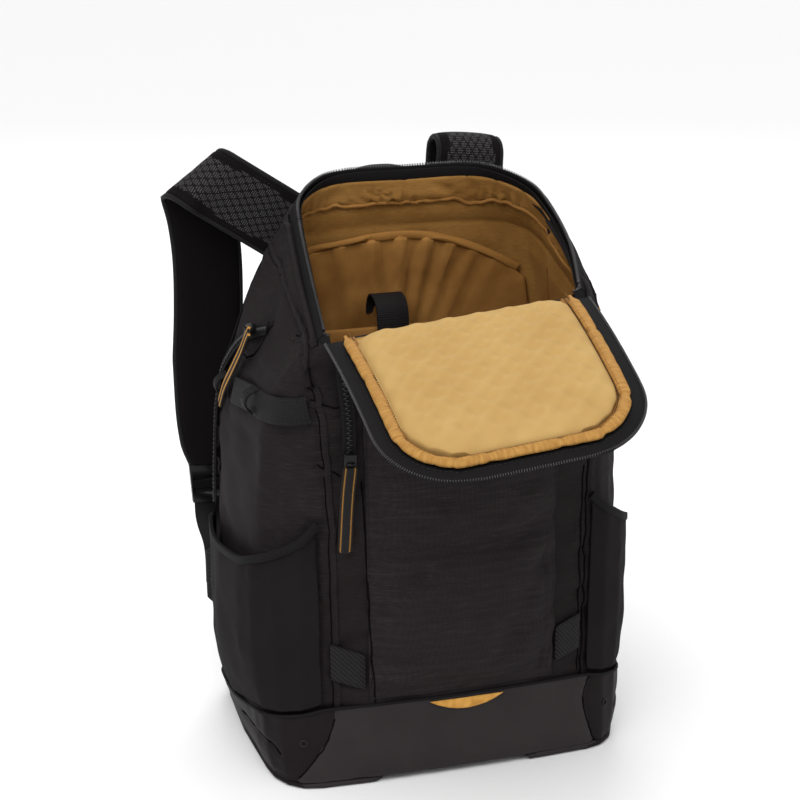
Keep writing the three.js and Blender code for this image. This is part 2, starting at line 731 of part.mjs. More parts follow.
// Rows down the lid with their half-width, closing on a straight tip through two round corners.
function lidRows(inset, start, straightRows, cornerRows) {
  const half = lidHalfWidth - inset;
  const end = lidLength - inset;
  const radius = lidCorner - inset * 0.6;
  const rows = [];
  for (let i = 0; i < straightRows; i += 1) {
    rows.push({ l: THREE.MathUtils.lerp(start, end - radius, i / straightRows), half });
  }
  for (let i = 0; i <= cornerRows; i += 1) {
    const a = i / cornerRows * Math.PI / 2;
    rows.push({ l: end - radius + radius * Math.sin(a), half: half - radius * (1 - Math.cos(a)) });
  }
  return rows;
}

function lidSheet(inset, start, straightRows, cornerRows, across, low, high) {
  const rows = lidRows(inset, start, straightRows, cornerRows);
  const shares = Array.from({ length: across + 1 }, (_, i) => 2 * i / across - 1);
  const grid = (height) => rows.map(({ l, half }) => shares.map((u) => (
    lidPoint(u * half, l, height(u, l, half)))));
  return sheet(grid(low), grid(high));
}

place('lid_panel', lidSheet(bindingRadius, 0, 8, 5, 10, () => -lidShellWall, () => 0), blackCloth);

function quilt(u, l, half) {
  const inwards = [(1 - Math.abs(u)) * half, l - lidPadStart, lidLength - lidPadInset - l];
  const edge = Math.min(1, ...inwards.map((run) => run / quiltShoulder));
  const wave = Math.sin(u * half * 2 * Math.PI / quiltPitch) * Math.cos(l * 2 * Math.PI / quiltPitch);
  return seamGap + lidPad * Math.sqrt(Math.max(edge, 0.12)) + quiltDepth * wave * Math.max(edge, 0);
}
place('lid_lining', lidSheet(lidPadInset, lidPadStart, 11, 4, 19, () => seamGap, quilt), quiltCloth);

// The lid's edge as a path: down one side, round the corners, across the tip and back up.
function lidEdge(inset, start, steps) {
  const half = lidRows(inset, start, 5, steps);
  const left = half.map(({ l, half: w }) => [-w, l]);
  const right = half.map(({ l, half: w }) => [w, l]).reverse();
  return [...left, ...right];
}

function lidTrim(inset, start, section) {
  const marks = lidEdge(inset, start, 6);
  const rings = marks.map(([x, l], i) => {
    const [bx, bl] = marks[Math.max(i - 1, 0)];
    const [ax, al] = marks[Math.min(i + 1, marks.length - 1)];
    const run = Math.hypot(ax - bx, al - bl);
    const [ox, ol] = [-(al - bl) / run, (ax - bx) / run];
    return section.map(([outwards, up]) => lidPoint(x + ox * outwards, l + ol * outwards, up));
  });
  return loft(rings);
}
const bindingSection = Array.from({ length: 8 }, (_, i) => {
  const a = i / 8 * 2 * Math.PI;
  return [bindingRadius * Math.cos(a), bindingRadius * (1 + Math.sin(a)) + seamGap];
});
place('lid_binding', lidTrim(bindingRadius + tapeThickness, lidPadStart - 3, bindingSection), linerCloth);
const zipSection = [
  [-bindingRadius + seamGap + 0.2, -lidShellWall * 0.8], [-bindingRadius + seamGap + 0.2, 0],
  [tapeWidth * 0.55, 0], [tapeWidth * 0.6, 1], [tapeWidth * 0.95, 1], [tapeWidth * 0.95, -teethHeight * 0.7],
  [tapeWidth * 0.6, -teethHeight * 0.7], [tapeWidth * 0.55, -tapeThickness],
];
place('lid_zip', lidTrim(0, 1, zipSection.slice().reverse()), zipTeeth);

// Inside, on the back wall: a pouch with an arched mouth, then the divider of the computer sleeve.
const innerBack = -(shellWall + seamGap + liningWall);
function innerHalfWidth(y, z) {
  let station = 2;
  for (let i = 0; i < 24; i += 1) {
    const p = face(station, levelAt(station, z), innerBack);
    station += (y - p.y) / (bodyDepth * 1.2);
    station = THREE.MathUtils.clamp(station, 1, 4);
  }
  const right = face(station, levelAt(station, z), innerBack).x;
  const left = face(-station, levelAt(-station, z), innerBack).x;
  return [left, right];
}
function innerWall(y, thickness, topAt, bottom, clearance) {
  const across = Array.from({ length: 13 }, (_, i) => i / 12);
  const rows = [0, 0.2, 0.4, 0.6, 0.75, 0.88, 1];
  const grid = (lift) => rows.map((row) => across.map((u) => {
    const z = THREE.MathUtils.lerp(bottom, topAt(2 * u - 1), row);
    const back = face(5, levelAt(5, z), innerBack).y;
    const depthHere = y(back, z);
    const [left, right] = innerHalfWidth(depthHere, z);
    const x = THREE.MathUtils.lerp(left + clearance, right - clearance, u);
    return new THREE.Vector3(x, depthHere - lift, z);
  }));
  return sheet(grid(0), grid(thickness));
}
const innerFloor = Math.max(...ringAt(1, innerBack).map((p) => p.z)) + seamGap;
const pouchY = (back) => back - pouchGap;
const pouchTopAt = (u) => THREE.MathUtils.lerp(pouchTop, u < 0 ? pouchLeft : pouchRight, u * u);
place('arched_pocket', innerWall(pouchY, pouchWall, pouchTopAt, innerFloor, innerClearance), linerCloth);
const sleeveBack = face(5, levelAt(5, sleeveTop * 0.6), innerBack).y;
const sleeveY = () => sleeveBack - pouchGap - pouchWall - sleeveGap;
const sleevePanel = innerWall(sleeveY, sleeveWall, () => sleeveTop, innerFloor, innerClearance);
place('sleeve_panel', sleevePanel, linerCloth);

// The bound lip along the pouch's arched mouth, and the hook-and-loop tab that bridges the sleeve.
const lipPath = Array.from({ length: 11 }, (_, i) => {
  const u = 0.94 * (2 * i / 10 - 1);
  const z = pouchTopAt(u);
  const y = pouchY(face(5, levelAt(5, z), innerBack).y) - pouchWall / 2;
  const [left, right] = innerHalfWidth(y, z);
  const x = THREE.MathUtils.lerp(left + innerClearance, right - innerClearance, (u + 1) / 2);
  return { at: new THREE.Vector3(x, y, z + innerBindingRadius + seamGap), out: new THREE.Vector3(0, 0, 1) };
});
const lipSection = Array.from({ length: 6 }, (_, i) => {
  const a = (i + 0.5) / 6 * 2 * Math.PI;
  return [innerBindingRadius * Math.cos(a), innerBindingRadius * Math.sin(a)];
});
place('pocket_binding', ribbon(lipPath, lipSection), linerCloth);

const pouchFace = (z) => pouchY(face(5, levelAt(5, z), innerBack).y) - pouchWall;
const closureBack = pouchFace(sleeveTop) - webbingThickness - seamGap * 2;
const closureFront = sleeveY() - sleeveWall - webbingThickness - seamGap * 2;
const closureRows = [
  { across: 0, rise: 0.2 }, { across: 0.04, rise: 0.6 }, { across: 0.22, rise: 0.95 },
  { across: 0.55, rise: 1 }, { across: 0.88, rise: 0.75 }, { across: 1, rise: 0.1 }, { across: 1, rise: -1 },
];
const closurePath = closureRows.map(({ across, rise }, i) => {
  const before = closureRows[Math.max(i - 1, 0)];
  const after = closureRows[Math.min(i + 1, closureRows.length - 1)];
  const run = (after.across - before.across) * (closureFront - closureBack);
  const climb = (after.rise - before.rise) * closureRise;
  const y = THREE.MathUtils.lerp(closureBack, closureFront, across);
  const at = new THREE.Vector3(closureX, y, sleeveTop + rise * closureRise);
  return { at, out: new THREE.Vector3(0, climb, -run) };
});
place('closure_tab', strip(closurePath, closureWidth, webbingThickness), blackWebbing);

// The padded back, with an air channel down its middle.
const backPanelTop = 5.55;
const backPanelBottom = 1.2;
const channelHalf = 0.14;
function backSwell(s, k) {
  const across = Math.abs(s > 5 ? 10 - s : s);
  const middle = (5 - across) / channelHalf;
  const edge = Math.min(1, (k - backPanelBottom) / 0.4, (backPanelTop - k) / 0.3, (across - 4) / 0.12);
  const soft = Math.sqrt(THREE.MathUtils.clamp(edge, 0.1, 1));
  return seamGap + padThickness * soft * (middle < 1.2 ? 0.45 : 1);
}
const backColumns = [4.12, 4.5, 4.8, 4.86, 5, 5.14, 5.2, 5.5, 5.88];
place('back_panel', patch({
  from: 4.02, to: 5.98, bottom: () => backPanelBottom, top: () => backPanelTop,
  inner: () => seamGap, outer: backSwell, columnsAdded: backColumns, rowsAdded: [1.35, 5.42],
}), strapCloth);

// Each strap lies flat from the top of the back, rolls half a turn over a slanted axis and
// hangs down to its buckle. Lengths are millimetres, directions are for the left strap.
const strapShapes = {
  left: {
    way: -1, rootX: 80, rootZ: 402, rise: 66, splay: 7, heading: [-0.82, 0.14, 0.54], axis: [0.80, 0, 0.60],
  },
  right: {
    way: 1, rootX: 76, rootZ: 398, rise: 52, splay: 0, heading: [0.1, 0.14, 0.98], axis: [1, 0, -0.1],
  },
};
function buildStrap({ way, rootX, rootZ, heading, rise, axis, splay }) {
  const forward = new THREE.Vector3(...heading).normalize();
  const rollAxis = new THREE.Vector3(...axis).normalize();
  const back = new THREE.Vector3(0, 1, 0);
  const frames = [];
  const wide = forward.clone().cross(back.clone().negate()).normalize();
  const rootLow = levelAt(4.6, rootZ - Math.abs(wide.z) * strapWidth / 2);
  const root = new THREE.Vector3(way * rootX, face(4.6, rootLow).y + strapThickness / 2 + seamGap, rootZ);
  for (const share of [0, 0.3, 0.65, 1]) {
    const at = root.clone().addScaledVector(forward, rise * share);
    frames.push({ at, wide: wide.clone(), along: forward.clone() });
  }
  const rollStart = frames[frames.length - 1].at.clone();
  const centre = rollStart.clone().addScaledVector(back, strapRoll);
  const slip = forward.dot(rollAxis) / Math.sqrt(1 - forward.dot(rollAxis) ** 2) * strapRoll;
  const turns = 6;
  for (let i = 1; i <= turns; i += 1) {
    const a = i / turns * Math.PI * 0.94;
    const turn = (v) => v.clone().applyAxisAngle(rollAxis, -a);
    frames.push({
      at: turn(rollStart.clone().sub(centre)).add(centre).addScaledVector(rollAxis, slip * a),
      wide: turn(wide), along: turn(forward),
    });
  }
  const last = frames[frames.length - 1];
  const end = new THREE.Vector3(way * (lowerEnd.x + splay), lowerEnd.y, lowerEnd.z);
  const hang = last.at.distanceTo(end);
  const curve = new THREE.CubicBezierCurve3(
    last.at, last.at.clone().addScaledVector(last.along, hang * 0.3),
    end.clone().add(new THREE.Vector3(0, 8, hang * 0.35)), end,
  );
  const finalWide = new THREE.Vector3(Math.sign(last.wide.x), 0, 0);
  for (const share of [0.12, 0.28, 0.46, 0.64, 0.82, 0.93, 1]) {
    frames.push({
      at: curve.getPoint(share), along: curve.getTangent(share),
      wide: last.wide.clone().lerp(finalWide, Math.min(share * 2, 1)).normalize(),
    });
  }
  return frames;
}
function strapBody(frames) {
  const total = frames.length - 1;
  return loft(frames.map(({ at, wide, along }, i) => {
    const w = wide.clone().addScaledVector(along, -wide.dot(along)).normalize();
    const n = w.clone().cross(along).normalize();
    const taper = i > total - 3 ? [0.86, 0.72, 0.5][i - total + 2] : 1;
    const half = strapWidth / 2 * taper;
    const thick = strapThickness / 2;
    return [[-1, 0.35], [-0.8, 1], [0.8, 1], [1, 0.35], [1, -0.35], [0.8, -1], [-0.8, -1], [-1, -0.35]]
      .map(([u, v]) => at.clone().addScaledVector(w, u * half).addScaledVector(n, v * thick));
  }));
}

// A wing of doubled cloth in the back seam carries the lower end of the strap's webbing.
function anchorTab(way) {
  const station = way * 3.5;
  const grid = (lift) => [-1, 0, 1].map((row) => [0, 0.4, 1].map((share) => {
    const z = anchorAt.z - anchorHeight * 0.2 + row * anchorHeight / 2 * THREE.MathUtils.lerp(1.5, 1, share);
    const root = face(station, levelAt(station, z), seamGap);
    const tip = new THREE.Vector3(way * (anchorAt.x + strapWebbingWidth / 2), anchorAt.y, z);
    return root.lerp(tip, share).add(new THREE.Vector3(0, lift, 0));
  }));
  return sheet(grid(0), grid(anchorThickness));
}

for (const [side, shape] of Object.entries(strapShapes)) {
  const frames = buildStrap(shape);
  place(`shoulder_strap_${side}`, strapBody(frames), strapCloth);
  const end = frames[frames.length - 1].at;
  const { way } = shape;
  const frame = new THREE.Shape([
    new THREE.Vector2(-lockWidth / 2, 0), new THREE.Vector2(lockWidth / 2, 0),
    new THREE.Vector2(lockWidth * 0.42, -lockHeight), new THREE.Vector2(-lockWidth * 0.42, -lockHeight),
  ]);
  const slotHalf = strapWebbingWidth / 2 + 0.8;
  for (const share of [0.3, 0.62]) {
    const y = -lockHeight * share;
    frame.holes.push(new THREE.Path([
      new THREE.Vector2(-slotHalf, y - lockSlot), new THREE.Vector2(slotHalf, y - lockSlot),
      new THREE.Vector2(slotHalf, y), new THREE.Vector2(-slotHalf, y),
    ]));
  }
  const lock = new THREE.ExtrudeGeometry(frame, { depth: lockThickness, bevelEnabled: false });
  lock.translate(0, 0, -lockThickness / 2).rotateX(Math.PI / 2).translate(end.x, end.y, end.z - seamGap);
  lock.deleteAttribute('normal');
  lock.deleteAttribute('uv');
  place(`ladder_lock_${side}`, mergeVertices(lock), blackPlastic);
  const webTop = new THREE.Vector3(end.x, end.y, end.z - lockHeight - seamGap * 3);
  const anchor = new THREE.Vector3(way * anchorAt.x, anchorAt.y + anchorThickness + seamGap, anchorAt.z);
  const drop = new THREE.CubicBezierCurve3(
    webTop, webTop.clone().add(new THREE.Vector3(0, 2, -30)),
    anchor.clone().add(new THREE.Vector3(0, 2, 34)), anchor,
  );
  const stretch = drop.getPoints(8);
  stretch.push(anchor.clone().add(new THREE.Vector3(0, 0, -anchorHeight * 0.4)));
  place(`strap_webbing_${side}`, strip(stretch.map((at) => ({ at, out: new THREE.Vector3(0, 1, 0) })),
    strapWebbingWidth, webbingThickness), blackWebbing);
  place(`anchor_tab_${side}`, anchorTab(way), blackWebbing);
}

// The padded carrying handle arches over the top of the back.
const handleRows = [
  { across: 0, height: 1, back: 1 }, { across: 0.33, height: 0.97, back: 1 },
  { across: 0.66, height: 0.8, back: 0.9 }, { across: 0.9, height: 0.42, back: 0.5 },
  { across: 1, height: 0, back: 0 },
];
const handleMarks = [
  ...handleRows.slice(1).reverse().map((row) => ({ ...row, across: -row.across })), ...handleRows,
];
const handleFoot = face(5, 6.3, seamGap);
const handlePath = handleMarks.map(({ across, height, back }) => new THREE.Vector3(
  across * handleSpan / 2, handleFoot.y + handleThickness / 2 + seamGap + back * handleSpring,
  handleFoot.z + height * handleRise,
));
place('grab_handle', loft(handlePath.map((at, i) => {
  const before = handlePath[Math.max(i - 1, 0)];
  const after = handlePath[Math.min(i + 1, handlePath.length - 1)];
  const along = after.clone().sub(before).setY(0).normalize();
  const backwards = new THREE.Vector3(0, 1, 0);
  const n = backwards.clone().cross(along).normalize();
  return [[-0.8, -1], [0.8, -1], [1, 0], [0.8, 1], [-0.8, 1], [-1, 0]].map(([u, v]) => at.clone()
    .addScaledVector(backwards, v * handleThickness / 2).addScaledVector(n, u * handleWidth / 2));
})), strapCloth);

// The origin is on the floor under the middle of the whole object.
const box = new THREE.Box3().setFromObject(group);
group.position.set(-(box.min.x + box.max.x) / 2, -(box.min.y + box.max.y) / 2, -box.min.z);

export default group;
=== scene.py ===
import math

import bmesh
import bpy
import numpy as np
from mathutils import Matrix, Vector
from mathutils.bvhtree import BVHTree


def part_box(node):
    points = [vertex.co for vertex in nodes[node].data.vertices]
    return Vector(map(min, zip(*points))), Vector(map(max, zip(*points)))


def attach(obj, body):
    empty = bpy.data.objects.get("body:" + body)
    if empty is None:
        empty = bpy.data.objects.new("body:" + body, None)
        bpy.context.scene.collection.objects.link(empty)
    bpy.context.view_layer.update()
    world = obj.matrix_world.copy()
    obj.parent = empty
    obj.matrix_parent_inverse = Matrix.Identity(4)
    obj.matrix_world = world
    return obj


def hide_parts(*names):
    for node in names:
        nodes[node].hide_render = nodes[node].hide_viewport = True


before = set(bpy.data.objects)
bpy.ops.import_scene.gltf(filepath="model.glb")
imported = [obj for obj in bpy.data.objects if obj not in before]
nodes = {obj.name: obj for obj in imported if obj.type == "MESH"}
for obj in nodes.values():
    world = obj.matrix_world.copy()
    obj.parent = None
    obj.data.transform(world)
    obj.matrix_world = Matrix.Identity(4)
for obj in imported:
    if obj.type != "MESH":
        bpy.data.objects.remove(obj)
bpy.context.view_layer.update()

# Camera, floor and light. The bag stands on a pale floor in soft light, seen from its front left
# corner and a little above, through a long lens.
camera_place = Vector((-0.4562, -1.3990, 0.7769))
looked_at = Vector((-0.0079, 0.0671, 0.2787))
bpy.ops.object.camera_add(location=camera_place,
                          rotation=(looked_at - camera_place).to_track_quat("-Z", "Y").to_euler())
camera = bpy.context.object
camera.data.lens = 90
camera.data.sensor_width = 36
bpy.context.scene.camera = camera
bpy.context.scene.view_settings.view_transform = "Standard"


def soft_light(name, place, aim, size, watts):
    bpy.ops.object.light_add(type="AREA", location=place,
                             rotation=(Vector(aim) - Vector(place)).to_track_quat("-Z", "Y").to_euler())
    lamp = bpy.context.object
    lamp.name = name
    lamp.data.size = size
    lamp.data.energy = watts


soft_light("key_light", (-1.3, -1.3, 1.9), (0, 0, 0.25), 1.2, 12)
soft_light("fill_light", (1.6, -1.2, 1.2), (0, 0, 0.2), 1.4, 7)
soft_light("back_light", (0.5, 1.7, 1.6), (0, 0, 0.3), 1.2, 14)
bpy.ops.object.light_add(type="SUN", location=(-0.8, -1.6, 3),
                         rotation=Vector((0.30, 0.42, -1)).to_track_quat("-Z", "Y").to_euler())
overhead = bpy.context.object
overhead.name = "overhead_light"
overhead.data.energy = 1.75
overhead.data.angle = math.radians(50)

world = bpy.data.worlds.new("studio")
world.use_nodes = True
world.node_tree.nodes["Background"].inputs["Color"].default_value = (0.98, 0.98, 0.98, 1)
world.node_tree.nodes["Background"].inputs["Strength"].default_value = 0.62
bpy.context.scene.world = world


def material(name, color, roughness, **sockets):
    """A material with its shader's own values, and its tree to draw a pattern in."""
    made = bpy.data.materials.new(name)
    made.use_nodes = True
    shader = made.node_tree.nodes["Principled BSDF"]
    shader.inputs["Base Color"].default_value = (*color, 1)
    shader.inputs["Roughness"].default_value = roughness
    for socket, value in sockets.items():
        shader.inputs[socket.replace("_", " ")].default_value = value
    return made


def put(tree, kind, inputs=(), **settings):
    """One node of a material, its settings, and what goes into its sockets."""
    node = tree.nodes.new(kind)
    for key, value in settings.items():
        setattr(node, key, value)
    for socket, value in dict(inputs).items():
        if isinstance(value, bpy.types.NodeSocket):
            tree.links.new(value, node.inputs[socket])
        else:
            node.inputs[socket].default_value = value
    return node.outputs[0]


def maths(tree, operation, a, b=0.0):
    return put(tree, "ShaderNodeMath", {0: a, 1: b}, operation=operation)


def wave(tree, place, turns):
    """The sine of a place, so many radians to the metre."""
    return maths(tree, "SINE", maths(tree, "MULTIPLY", place, turns))


def shades(tree, share, stops):
    """Colours along a ramp, from a list of places and colours."""
    node = tree.nodes.new("ShaderNodeValToRGB")
    tree.links.new(share, node.inputs[0])
    ramp = node.color_ramp
    while len(ramp.elements) < len(stops):
        ramp.elements.new(0.5)
    for element, (place, color) in zip(ramp.elements, stops):
        element.position = place
        element.color = (*color, 1)
    return node.outputs[0]


def paint(made, color):
    made.node_tree.links.new(color, made.node_tree.nodes["Principled BSDF"].inputs["Base Color"])


def emboss(made, height, distance, strength=1.0):
    tree = made.node_tree
    bump = put(tree, "ShaderNodeBump", {"Height": height, "Distance": distance, "Strength": strength})
    tree.links.new(bump, tree.nodes["Principled BSDF"].inputs["Normal"])


floor_paint = material("floor_paint", (0.9, 0.9, 0.9), 0.6)
floor_tree = floor_paint.node_tree
floor_grain = put(floor_tree, "ShaderNodeTexNoise", {"Scale": 3.0})
paint(floor_paint, shades(floor_tree, floor_grain, [(0.3, (0.89, 0.89, 0.89)), (0.7, (0.91, 0.91, 0.91))]))
bpy.ops.mesh.primitive_plane_add(size=24, location=(0, 0, 0))
floor = bpy.context.object
floor.name = "floor"
floor.data.materials.append(floor_paint)

# The padded body. It is cut from black slub-weave cloth over thin foam, in panels sewn together by
# seams that pull in, and stuffed enough to stand open. It is blown up between its seams as cloth.
body_black = material("body_black", (0.013, 0.012, 0.0123), 0.8, Specular_IOR_Level=0.1)
cloth_tree = body_black.node_tree


def object_place(tree):
    """The place on the object, in metres."""
    return tree.nodes.new("ShaderNodeTexCoord").outputs["Object"]


def weave_parts(tree, pitch):
    """Place along the cloth, height up the cloth, and the over and under of a plain weave."""
    place = object_place(tree)
    split = tree.nodes.new("ShaderNodeSeparateXYZ")
    tree.links.new(place, split.inputs[0])
    level = maths(tree, "ADD", split.outputs[0], split.outputs[1])
    turns = 2 * math.pi / pitch
    warp = wave(tree, level, turns)
    weft = wave(tree, split.outputs[2], turns)
    return place, level, split.outputs[2], maths(tree, "MULTIPLY", warp, weft)


def slub(tree, place, length, thickness):
    """Thick places in the yarn that run level across the cloth."""
    stretched = put(tree, "ShaderNodeMapping", {"Vector": place,
                                                "Scale": (1 / length, 1 / length, 1 / thickness)})
    return put(tree, "ShaderNodeTexNoise", {"Vector": stretched, "Scale": 1.0, "Detail": 3.0})


place, level, height, weave = weave_parts(cloth_tree, 0.0013)
yarn = slub(cloth_tree, place, 0.012, 0.00045)
patches = put(cloth_tree, "ShaderNodeTexNoise", {"Vector": place, "Scale": 14.0, "Detail": 2.0})
tone = maths(cloth_tree, "ADD", maths(cloth_tree, "MULTIPLY", yarn, 0.75),
             maths(cloth_tree, "MULTIPLY", patches, 0.25))
paint(body_black, shades(cloth_tree, tone, [(0.34, (0.0100, 0.0077, 0.0082)),
                                            (0.56, (0.0134, 0.0105, 0.0111)),
                                            (0.70, (0.0235, 0.0205, 0.0212))]))
emboss(body_black, maths(cloth_tree, "ADD", weave, maths(cloth_tree, "MULTIPLY", yarn, 1.6)), 0.0002, 0.5)


def only(piece):
    bpy.ops.object.select_all(action="DESELECT")
    piece.select_set(True)
    bpy.context.view_layer.objects.active = piece


def cloth_copy(node, name):
    """A copy of a CAD node's mesh in one piece, ready to be divided."""
    piece = bpy.data.objects.new(name, nodes[node].data.copy())
    piece.data.materials.clear()
    bpy.context.scene.collection.objects.link(piece)
    only(piece)
    bpy.ops.object.mode_set(mode="EDIT")
    bpy.ops.mesh.select_all(action="SELECT")
    bpy.ops.mesh.remove_doubles(threshold=1e-6)
    bpy.ops.mesh.tris_convert_to_quads(face_threshold=math.radians(60), shape_threshold=math.radians(120))
    bpy.ops.object.mode_set(mode="OBJECT")
    return piece


def modify(piece, kind, **settings):
    only(piece)
    modifier = piece.modifiers.new(kind.title(), kind)
    for key, value in settings.items():
        setattr(modifier, key, value)
    bpy.ops.object.modifier_apply(modifier=modifier.name)


def divide(piece, levels, rounds=3):
    """Finer faces on the same form, with the corners between the old faces eased."""
    modify(piece, "SUBSURF", subdivision_type="SIMPLE", levels=levels, render_levels=levels)
    modify(piece, "SMOOTH", factor=0.5, iterations=rounds)


def points_of(piece):
    co = np.empty(len(piece.data.vertices) * 3)
    piece.data.vertices.foreach_get("co", co)
    return co.reshape(-1, 3)


def normals_of(piece):
    out = np.empty(len(piece.data.vertices) * 3)
    piece.data.vertex_normals.foreach_get("vector", out)
    return out.reshape(-1, 3)


def set_points(piece, points):
    piece.data.vertices.foreach_set("co", np.ascontiguousarray(points).ravel())
    piece.data.update()


def ripple(points, wavelength, seed, stretch=(1, 1, 1)):
    """Soft uneven waves between about -1 and 1, the same on every run."""
    random = np.random.default_rng(seed)
    total = np.zeros(len(points))
    scaled = points * np.array(stretch)
    for _ in range(9):
        way = random.normal(size=3)
        way *= 2 * math.pi / (np.linalg.norm(way) * wavelength * random.uniform(0.7, 1.6))
        total += np.sin(scaled @ way + random.uniform(0, 2 * math.pi))
    return total / 4


def distance_to_run(points, run):
    """How far each point is from a run of straight stretches."""
    best = np.full(len(points), 1e9)
    for a, b in zip(run[:-1], run[1:]):
        along = b - a
        share = np.clip((points - a) @ along / (along @ along), 0, 1)
        best = np.minimum(best, np.linalg.norm(points - a - share[:, None] * along, axis=1))
    return best


def swell(piece, held, most, pressure=4.0, spare=0.02, frames=20):
    """Cloth blown up from inside, held where it is sewn, with its movement capped."""
    start = points_of(piece)
    sewn = piece.vertex_groups.new(name="sewn")
    for share in (0.25, 0.5, 0.75, 1.0):
        chosen = np.flatnonzero(np.abs(held - share) <= 0.125)
        if len(chosen):
            sewn.add(chosen.tolist(), share, "REPLACE")
    only(piece)
    bpy.ops.object.modifier_add(type="CLOTH")
    cloth = piece.modifiers[-1]
    cloth.settings.quality = 4
    cloth.settings.mass = 0.25
    cloth.settings.use_pressure = True
    cloth.settings.uniform_pressure_force = pressure
    cloth.settings.vertex_group_mass = sewn.name
    cloth.settings.shrink_min = -spare
    cloth.settings.effector_weights.gravity = 0
    cloth.collision_settings.use_self_collision = False
    cloth.point_cache.frame_start = 1
    cloth.point_cache.frame_end = frames
    for moment in range(1, frames + 1):
        bpy.context.scene.frame_set(moment)
    bpy.ops.object.modifier_apply(modifier=cloth.name)
    bpy.context.scene.frame_set(1)
    moved = points_of(piece) - start
    moved = np.nan_to_num(moved)
    length = np.linalg.norm(moved, axis=1)[:, None]
    set_points(piece, start + moved * np.minimum(1, most / np.maximum(length, 1e-9)))
    piece.vertex_groups.clear()


def dress(piece, made, slot, *replaced):
    """Gives a finished piece its material, its body and the CAD nodes that it stands for."""
    if made is not None:
        piece.data.materials.clear()
        piece.data.materials.append(made)
    only(piece)
    bpy.ops.object.shade_smooth_by_angle(angle=math.radians(50))
    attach(piece, "root")
    if replaced:
        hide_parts(*replaced)


def surface_of(piece):
    """The piece's own surface, to look for its nearest point."""
    mesh = piece.data
    faces = [tuple(face.vertices) for face in mesh.polygons]
    return BVHTree.FromPolygons([v.co for v in mesh.vertices], faces)


shell_tree = surface_of(nodes["bag_shell"])


def unit(vectors):
    return vectors / np.maximum(np.linalg.norm(vectors, axis=-1, keepdims=True), 1e-9)


def off_shell(points):
    """The way out of the bag at each point."""
    found = [shell_tree.find_nearest(Vector(point)) for point in points]
    return unit(np.array([hit[1] for hit in found]))


def between(values, shares):
    """Values between the given ones, on a smooth curve through them."""
    values = np.asarray(values, float)
    first = np.clip(np.floor(shares).astype(int), 0, len(values) - 2)
    t = (shares - first).reshape(-1, *[1] * (values.ndim - 1))
    padded = np.concatenate([[2 * values[0] - values[1]], values, [2 * values[-1] - values[-2]]])
    a, b, c, d = (padded[first + i] for i in range(4))
    return b + 0.5 * t * (c - a + t * (2 * a - 5 * b + 4 * c - d + t * (3 * (b - c) + d - a)))


def run_through(points, out, step, across=None, half=None, closed=False):
    """A smooth run: its places, the ways along, across and out, and how far along each place is."""
    points, out = np.asarray(points, float), np.asarray(out, float)
    if closed:
        points = np.vstack([points[-2:], points, points[:3]])
        out = np.vstack([out[-2:], out, out[:3]])
    length = np.r_[0, np.cumsum(np.linalg.norm(np.diff(points, axis=0), axis=1))]
    first, last = (length[2], length[-3]) if closed else (0, length[-1])
    wanted = np.linspace(first, last, max(3, round((last - first) / step)) + 1)
    shares = np.interp(wanted, length, np.arange(len(points)))
    at = between(points, shares)
    along = unit(np.gradient(between(points, shares), axis=0))
    out = between(out, shares)
    out = unit(out - (out * along).sum(1, keepdims=True) * along)
    if across is not None:
        across = between(across, shares)
        across = unit(across - (across * along).sum(1, keepdims=True) * along)
        out = unit(np.cross(across, along)) * np.sign((np.cross(across, along) * out).sum())
    else:
        across = np.cross(along, out)
    run = {"at": at, "along": along, "across": across, "out": out, "s": wanted - first, "closed": closed}
    if half is not None:
        run["half"] = np.interp(shares, np.arange(len(half)), half)
    return run


def carried(name, run, section):
    """A closed section, in metres across and out, carried along a run, with its ends closed."""
    rows = len(run["at"])
    section = np.asarray(section, float)
    section = np.broadcast_to(section, (rows, *section.shape[-2:]))
    columns = section.shape[1] + 1
    bpy.ops.object.select_all(action="DESELECT")
    bpy.ops.mesh.primitive_grid_add(x_subdivisions=rows - 1, y_subdivisions=columns - 1, size=1)
    piece = bpy.context.object
    piece.name = name
    flat = points_of(piece)
    i = np.rint((flat[:, 0] + 0.5) * (rows - 1)).astype(int)
    j = np.rint((flat[:, 1] + 0.5) * (columns - 1)).astype(int) % (columns - 1)
    if run["closed"]:
        i = i % (rows - 1)
    side, lift = section[i, j, 0], section[i, j, 1]
    set_points(piece, run["at"][i] + run["across"][i] * side[:, None] + run["out"][i] * lift[:, None])
    corner = np.empty(len(piece.data.loops), int)
    piece.data.loops.foreach_get("vertex_index", corner)
    first_i = np.rint((flat[corner, 0] + 0.5) * (rows - 1)).astype(int)
    piece.data.uv_layers[0].data.foreach_set("uv", np.c_[run["s"][first_i], side[corner]].ravel())
    only(piece)
    bpy.ops.object.mode_set(mode="EDIT")
    bpy.ops.mesh.select_all(action="SELECT")
    bpy.ops.mesh.remove_doubles(threshold=1e-6)
    bpy.ops.mesh.select_all(action="SELECT")
    bpy.ops.mesh.fill_holes(sides=0)
    bpy.ops.mesh.select_all(action="SELECT")
    bpy.ops.mesh.normals_make_consistent(inside=False)
    bpy.ops.object.mode_set(mode="OBJECT")
    return piece


def copied(run):
    """A run of its own with the same places and ways."""
    return {key: value.copy() if isinstance(value, np.ndarray) else value for key, value in run.items()}


def bar(half, low, high, corner=0.0004):
    """The section of a flat band, with eased corners."""
    inner = half - corner
    return [(-inner, low), (0, low), (inner, low), (half, low + corner), (half, high - corner),
            (inner, high), (0, high), (-inner, high), (-half, high - corner), (-half, low + corner)]


def tube(across, up, middle=0.0, count=14):
    turns = np.arange(count) / count * 2 * math.pi
    return np.c_[across * np.cos(turns), middle + up * np.sin(turns)]


